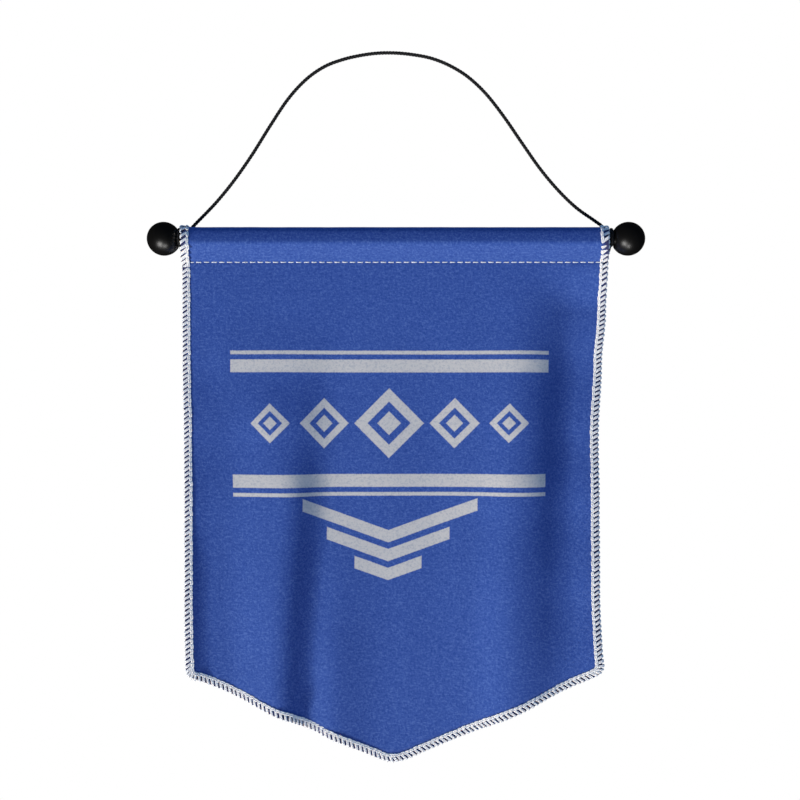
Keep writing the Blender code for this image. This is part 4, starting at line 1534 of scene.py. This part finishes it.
@dataclass(frozen=True)
class FarLight:
    """A broad distant light: how far left of the camera's line and below level it stands, how
    wide it looks, all in degrees, and its strength and colour.
    """

    name: str
    azimuth: float
    drop: float
    angle: float
    strength: float
    colour: tuple[float, float, float]

    def build(self) -> None:
        """Adds the light, which lights the cloth and isn't mirrored in the paint."""
        data = bpy.data.lights.new(self.name, "SUN")
        data.angle = math.radians(self.angle)
        data.energy = self.strength
        data.color = self.colour
        light = bpy.data.objects.new(self.name, data)
        bpy.context.scene.collection.objects.link(light)
        left, drop = math.radians(self.azimuth), math.radians(self.drop)
        stand = Vector((-math.cos(drop) * math.sin(left), -math.cos(drop) * math.cos(left),
                        -math.sin(drop)))
        light.location = stand * 1.5
        light.rotation_euler = (-stand).to_track_quat("-Z", "Y").to_euler()
        light.visible_glossy = False


@dataclass(frozen=True)
class NearLight:
    """A soft round light close by, which either only glints in the paint or only fills."""

    name: str
    place: tuple[float, float, float]
    size: float
    power: float
    colour: tuple[float, float, float]
    fills: bool

    def build(self, aim: tuple[float, float, float]) -> None:
        """Adds the light and points it at the banner."""
        data = bpy.data.lights.new(self.name, "AREA")
        data.shape = "DISK"
        data.size = self.size
        data.energy = self.power
        data.color = self.colour
        light = bpy.data.objects.new(self.name, data)
        bpy.context.scene.collection.objects.link(light)
        light.location = self.place
        towards = Vector(aim) - Vector(self.place)
        light.rotation_euler = towards.to_track_quat("-Z", "Y").to_euler()
        light.visible_diffuse = self.fills
        light.visible_glossy = not self.fills


@dataclass
class Studio:
    """The plain floor, the lights and the camera of the photograph."""

    lens: float = 50.0
    distance: float = 0.792
    camera_x: float = 2.85 * MM
    camera_z: float = -247.3 * MM
    floor_z: float = -1.60
    floor_radius: float = 1.1
    far_lights: tuple[FarLight, ...] = (
        FarLight("key", 54.5, 37.5, 14.0, 4.10, (1.0, 0.95, 0.88)),
        FarLight("side", -55.0, 20.0, 60.0, 0.26, (0.95, 0.97, 1.0)),
        FarLight("top", -10.0, -55.0, 60.0, 0.14, (1.0, 0.94, 0.87)),
        FarLight("behind", 160.0, -18.0, 40.0, 1.7, (1.0, 0.97, 0.93)),
    )
    near_lights: tuple[NearLight, ...] = (
        NearLight("ball_glint", (-0.45, -0.675, -0.86), 0.50, 8.0, (1.0, 0.98, 0.96), False),
        NearLight("second_glint", (0.09, -0.57, -1.14), 0.42, 4.0, (1.0, 0.98, 0.96), False),
        NearLight("low_fill", (-0.25, -0.70, -1.10), 0.40, 1.6, (1.0, 0.86, 0.62), True),
    )
    aim: tuple[float, float, float] = (0.0, 0.0, -0.28)
    surround: tuple[float, float, float] = (0.073, 0.197, 0.440)
    mirrored: float = 0.02

    def build(self) -> None:
        """Sets up everything round the banner."""
        rod, _ = middle_and_half("rod")
        self.add_camera(rod)
        self.add_floor()
        self.add_world()
        for light in self.far_lights:
            light.build()
        for light in self.near_lights:
            light.build(self.aim)
        scene = bpy.context.scene
        scene.view_settings.view_transform = "Standard"

    def add_camera(self, rod: Vector) -> None:
        """Places the camera level with the middle of the photograph."""
        data = bpy.data.cameras.new("camera")
        data.lens = self.lens
        data.sensor_width = 36.0
        data.clip_start = 0.02
        camera = bpy.data.objects.new("camera", data)
        bpy.context.scene.collection.objects.link(camera)
        camera.location = (self.camera_x, rod.y - self.distance, self.camera_z)
        camera.rotation_euler = (math.pi / 2, 0.0, 0.0)
        bpy.context.scene.camera = camera

    def add_floor(self) -> None:
        """Lays a pale round floor well below the banner."""
        bm = bmesh.new()
        bmesh.ops.create_circle(bm, cap_ends=True, segments=96, radius=self.floor_radius)
        bmesh.ops.translate(bm, vec=(0.0, 0.0, self.floor_z), verts=bm.verts[:])
        mesh = bpy.data.meshes.new("floor")
        bm.to_mesh(mesh)
        bm.free()
        material = bpy.data.materials.new("pale_floor")
        material.use_nodes = True
        shader = material.node_tree.nodes["Principled BSDF"]
        shader.inputs["Base Color"].default_value = (0.86, 0.86, 0.85, 1.0)
        shader.inputs["Roughness"].default_value = 0.9
        mesh.materials.append(material)
        floor = bpy.data.objects.new("floor", mesh)
        bpy.context.scene.collection.objects.link(floor)
        floor.visible_glossy = False

    def add_world(self) -> None:
        """Shows white behind the banner and lights it softly from all round."""
        world = bpy.data.worlds.new("studio")
        bpy.context.scene.world = world
        world.use_nodes = True
        tree = world.node_tree
        tree.nodes.clear()
        s = NodeSketch(tree)
        ray = s.add("ShaderNodeLightPath")
        soft = s.add("ShaderNodeBackground", {"Color": (*self.surround, 1.0), "Strength": 1.0})
        dim = s.add("ShaderNodeBackground", {"Color": (self.mirrored,) * 3 + (1.0,),
                                             "Strength": 1.0})
        white = s.add("ShaderNodeBackground", {"Color": (1.0, 1.0, 1.0, 1.0),
                                               "Strength": 1.0})
        unseen = s.add("ShaderNodeMixShader", {0: ray.outputs["Is Glossy Ray"],
                                               1: soft.outputs[0], 2: dim.outputs[0]})
        mixed = s.add("ShaderNodeMixShader", {0: ray.outputs["Is Camera Ray"],
                                              1: unseen.outputs[0], 2: white.outputs[0]})
        s.add("ShaderNodeOutputWorld", {"Surface": mixed.outputs[0]})


def main() -> None:
    """Builds the banner piece by piece."""
    logging.basicConfig(level=logging.INFO, format="%(name)s: %(message)s")
    grain = FibreGrain().build()
    pattern = PrintPattern().build()
    printed = FeltFinish("blue_felt_printed", True).build(grain, pattern)
    plain = FeltFinish("blue_felt", False).build(grain, pattern)
    twist = PlyTwist().build()
    thread = ThreadFinish("white_thread", (0.87, 0.825, 0.765), (0.67, 0.64, 0.60), 1.7 * MM,
                          5200.0, 0.76, 0.12, 0.40, 0.45).build(grain, twist)
    cord = ThreadFinish("black_cord", (0.0115, 0.0110, 0.0110), (0.0035, 0.0035, 0.0035),
                        1.5 * MM, 5200.0, 0.62, 0.05, 0.7).build(grain, twist)
    Studio().build()
    HangingCord().build(cord)
    cloth = ClothForm()
    felt = FeltBanner(cloth)
    felt.build(printed, plain)
    sewn = OverlockEdging(cloth).build(thread) + SleeveTopstitch(cloth).build(thread)
    felt.declare()
    TurnedWood().build(PaintedWoodFinish().build())


if __name__ == "__main__":
    main()
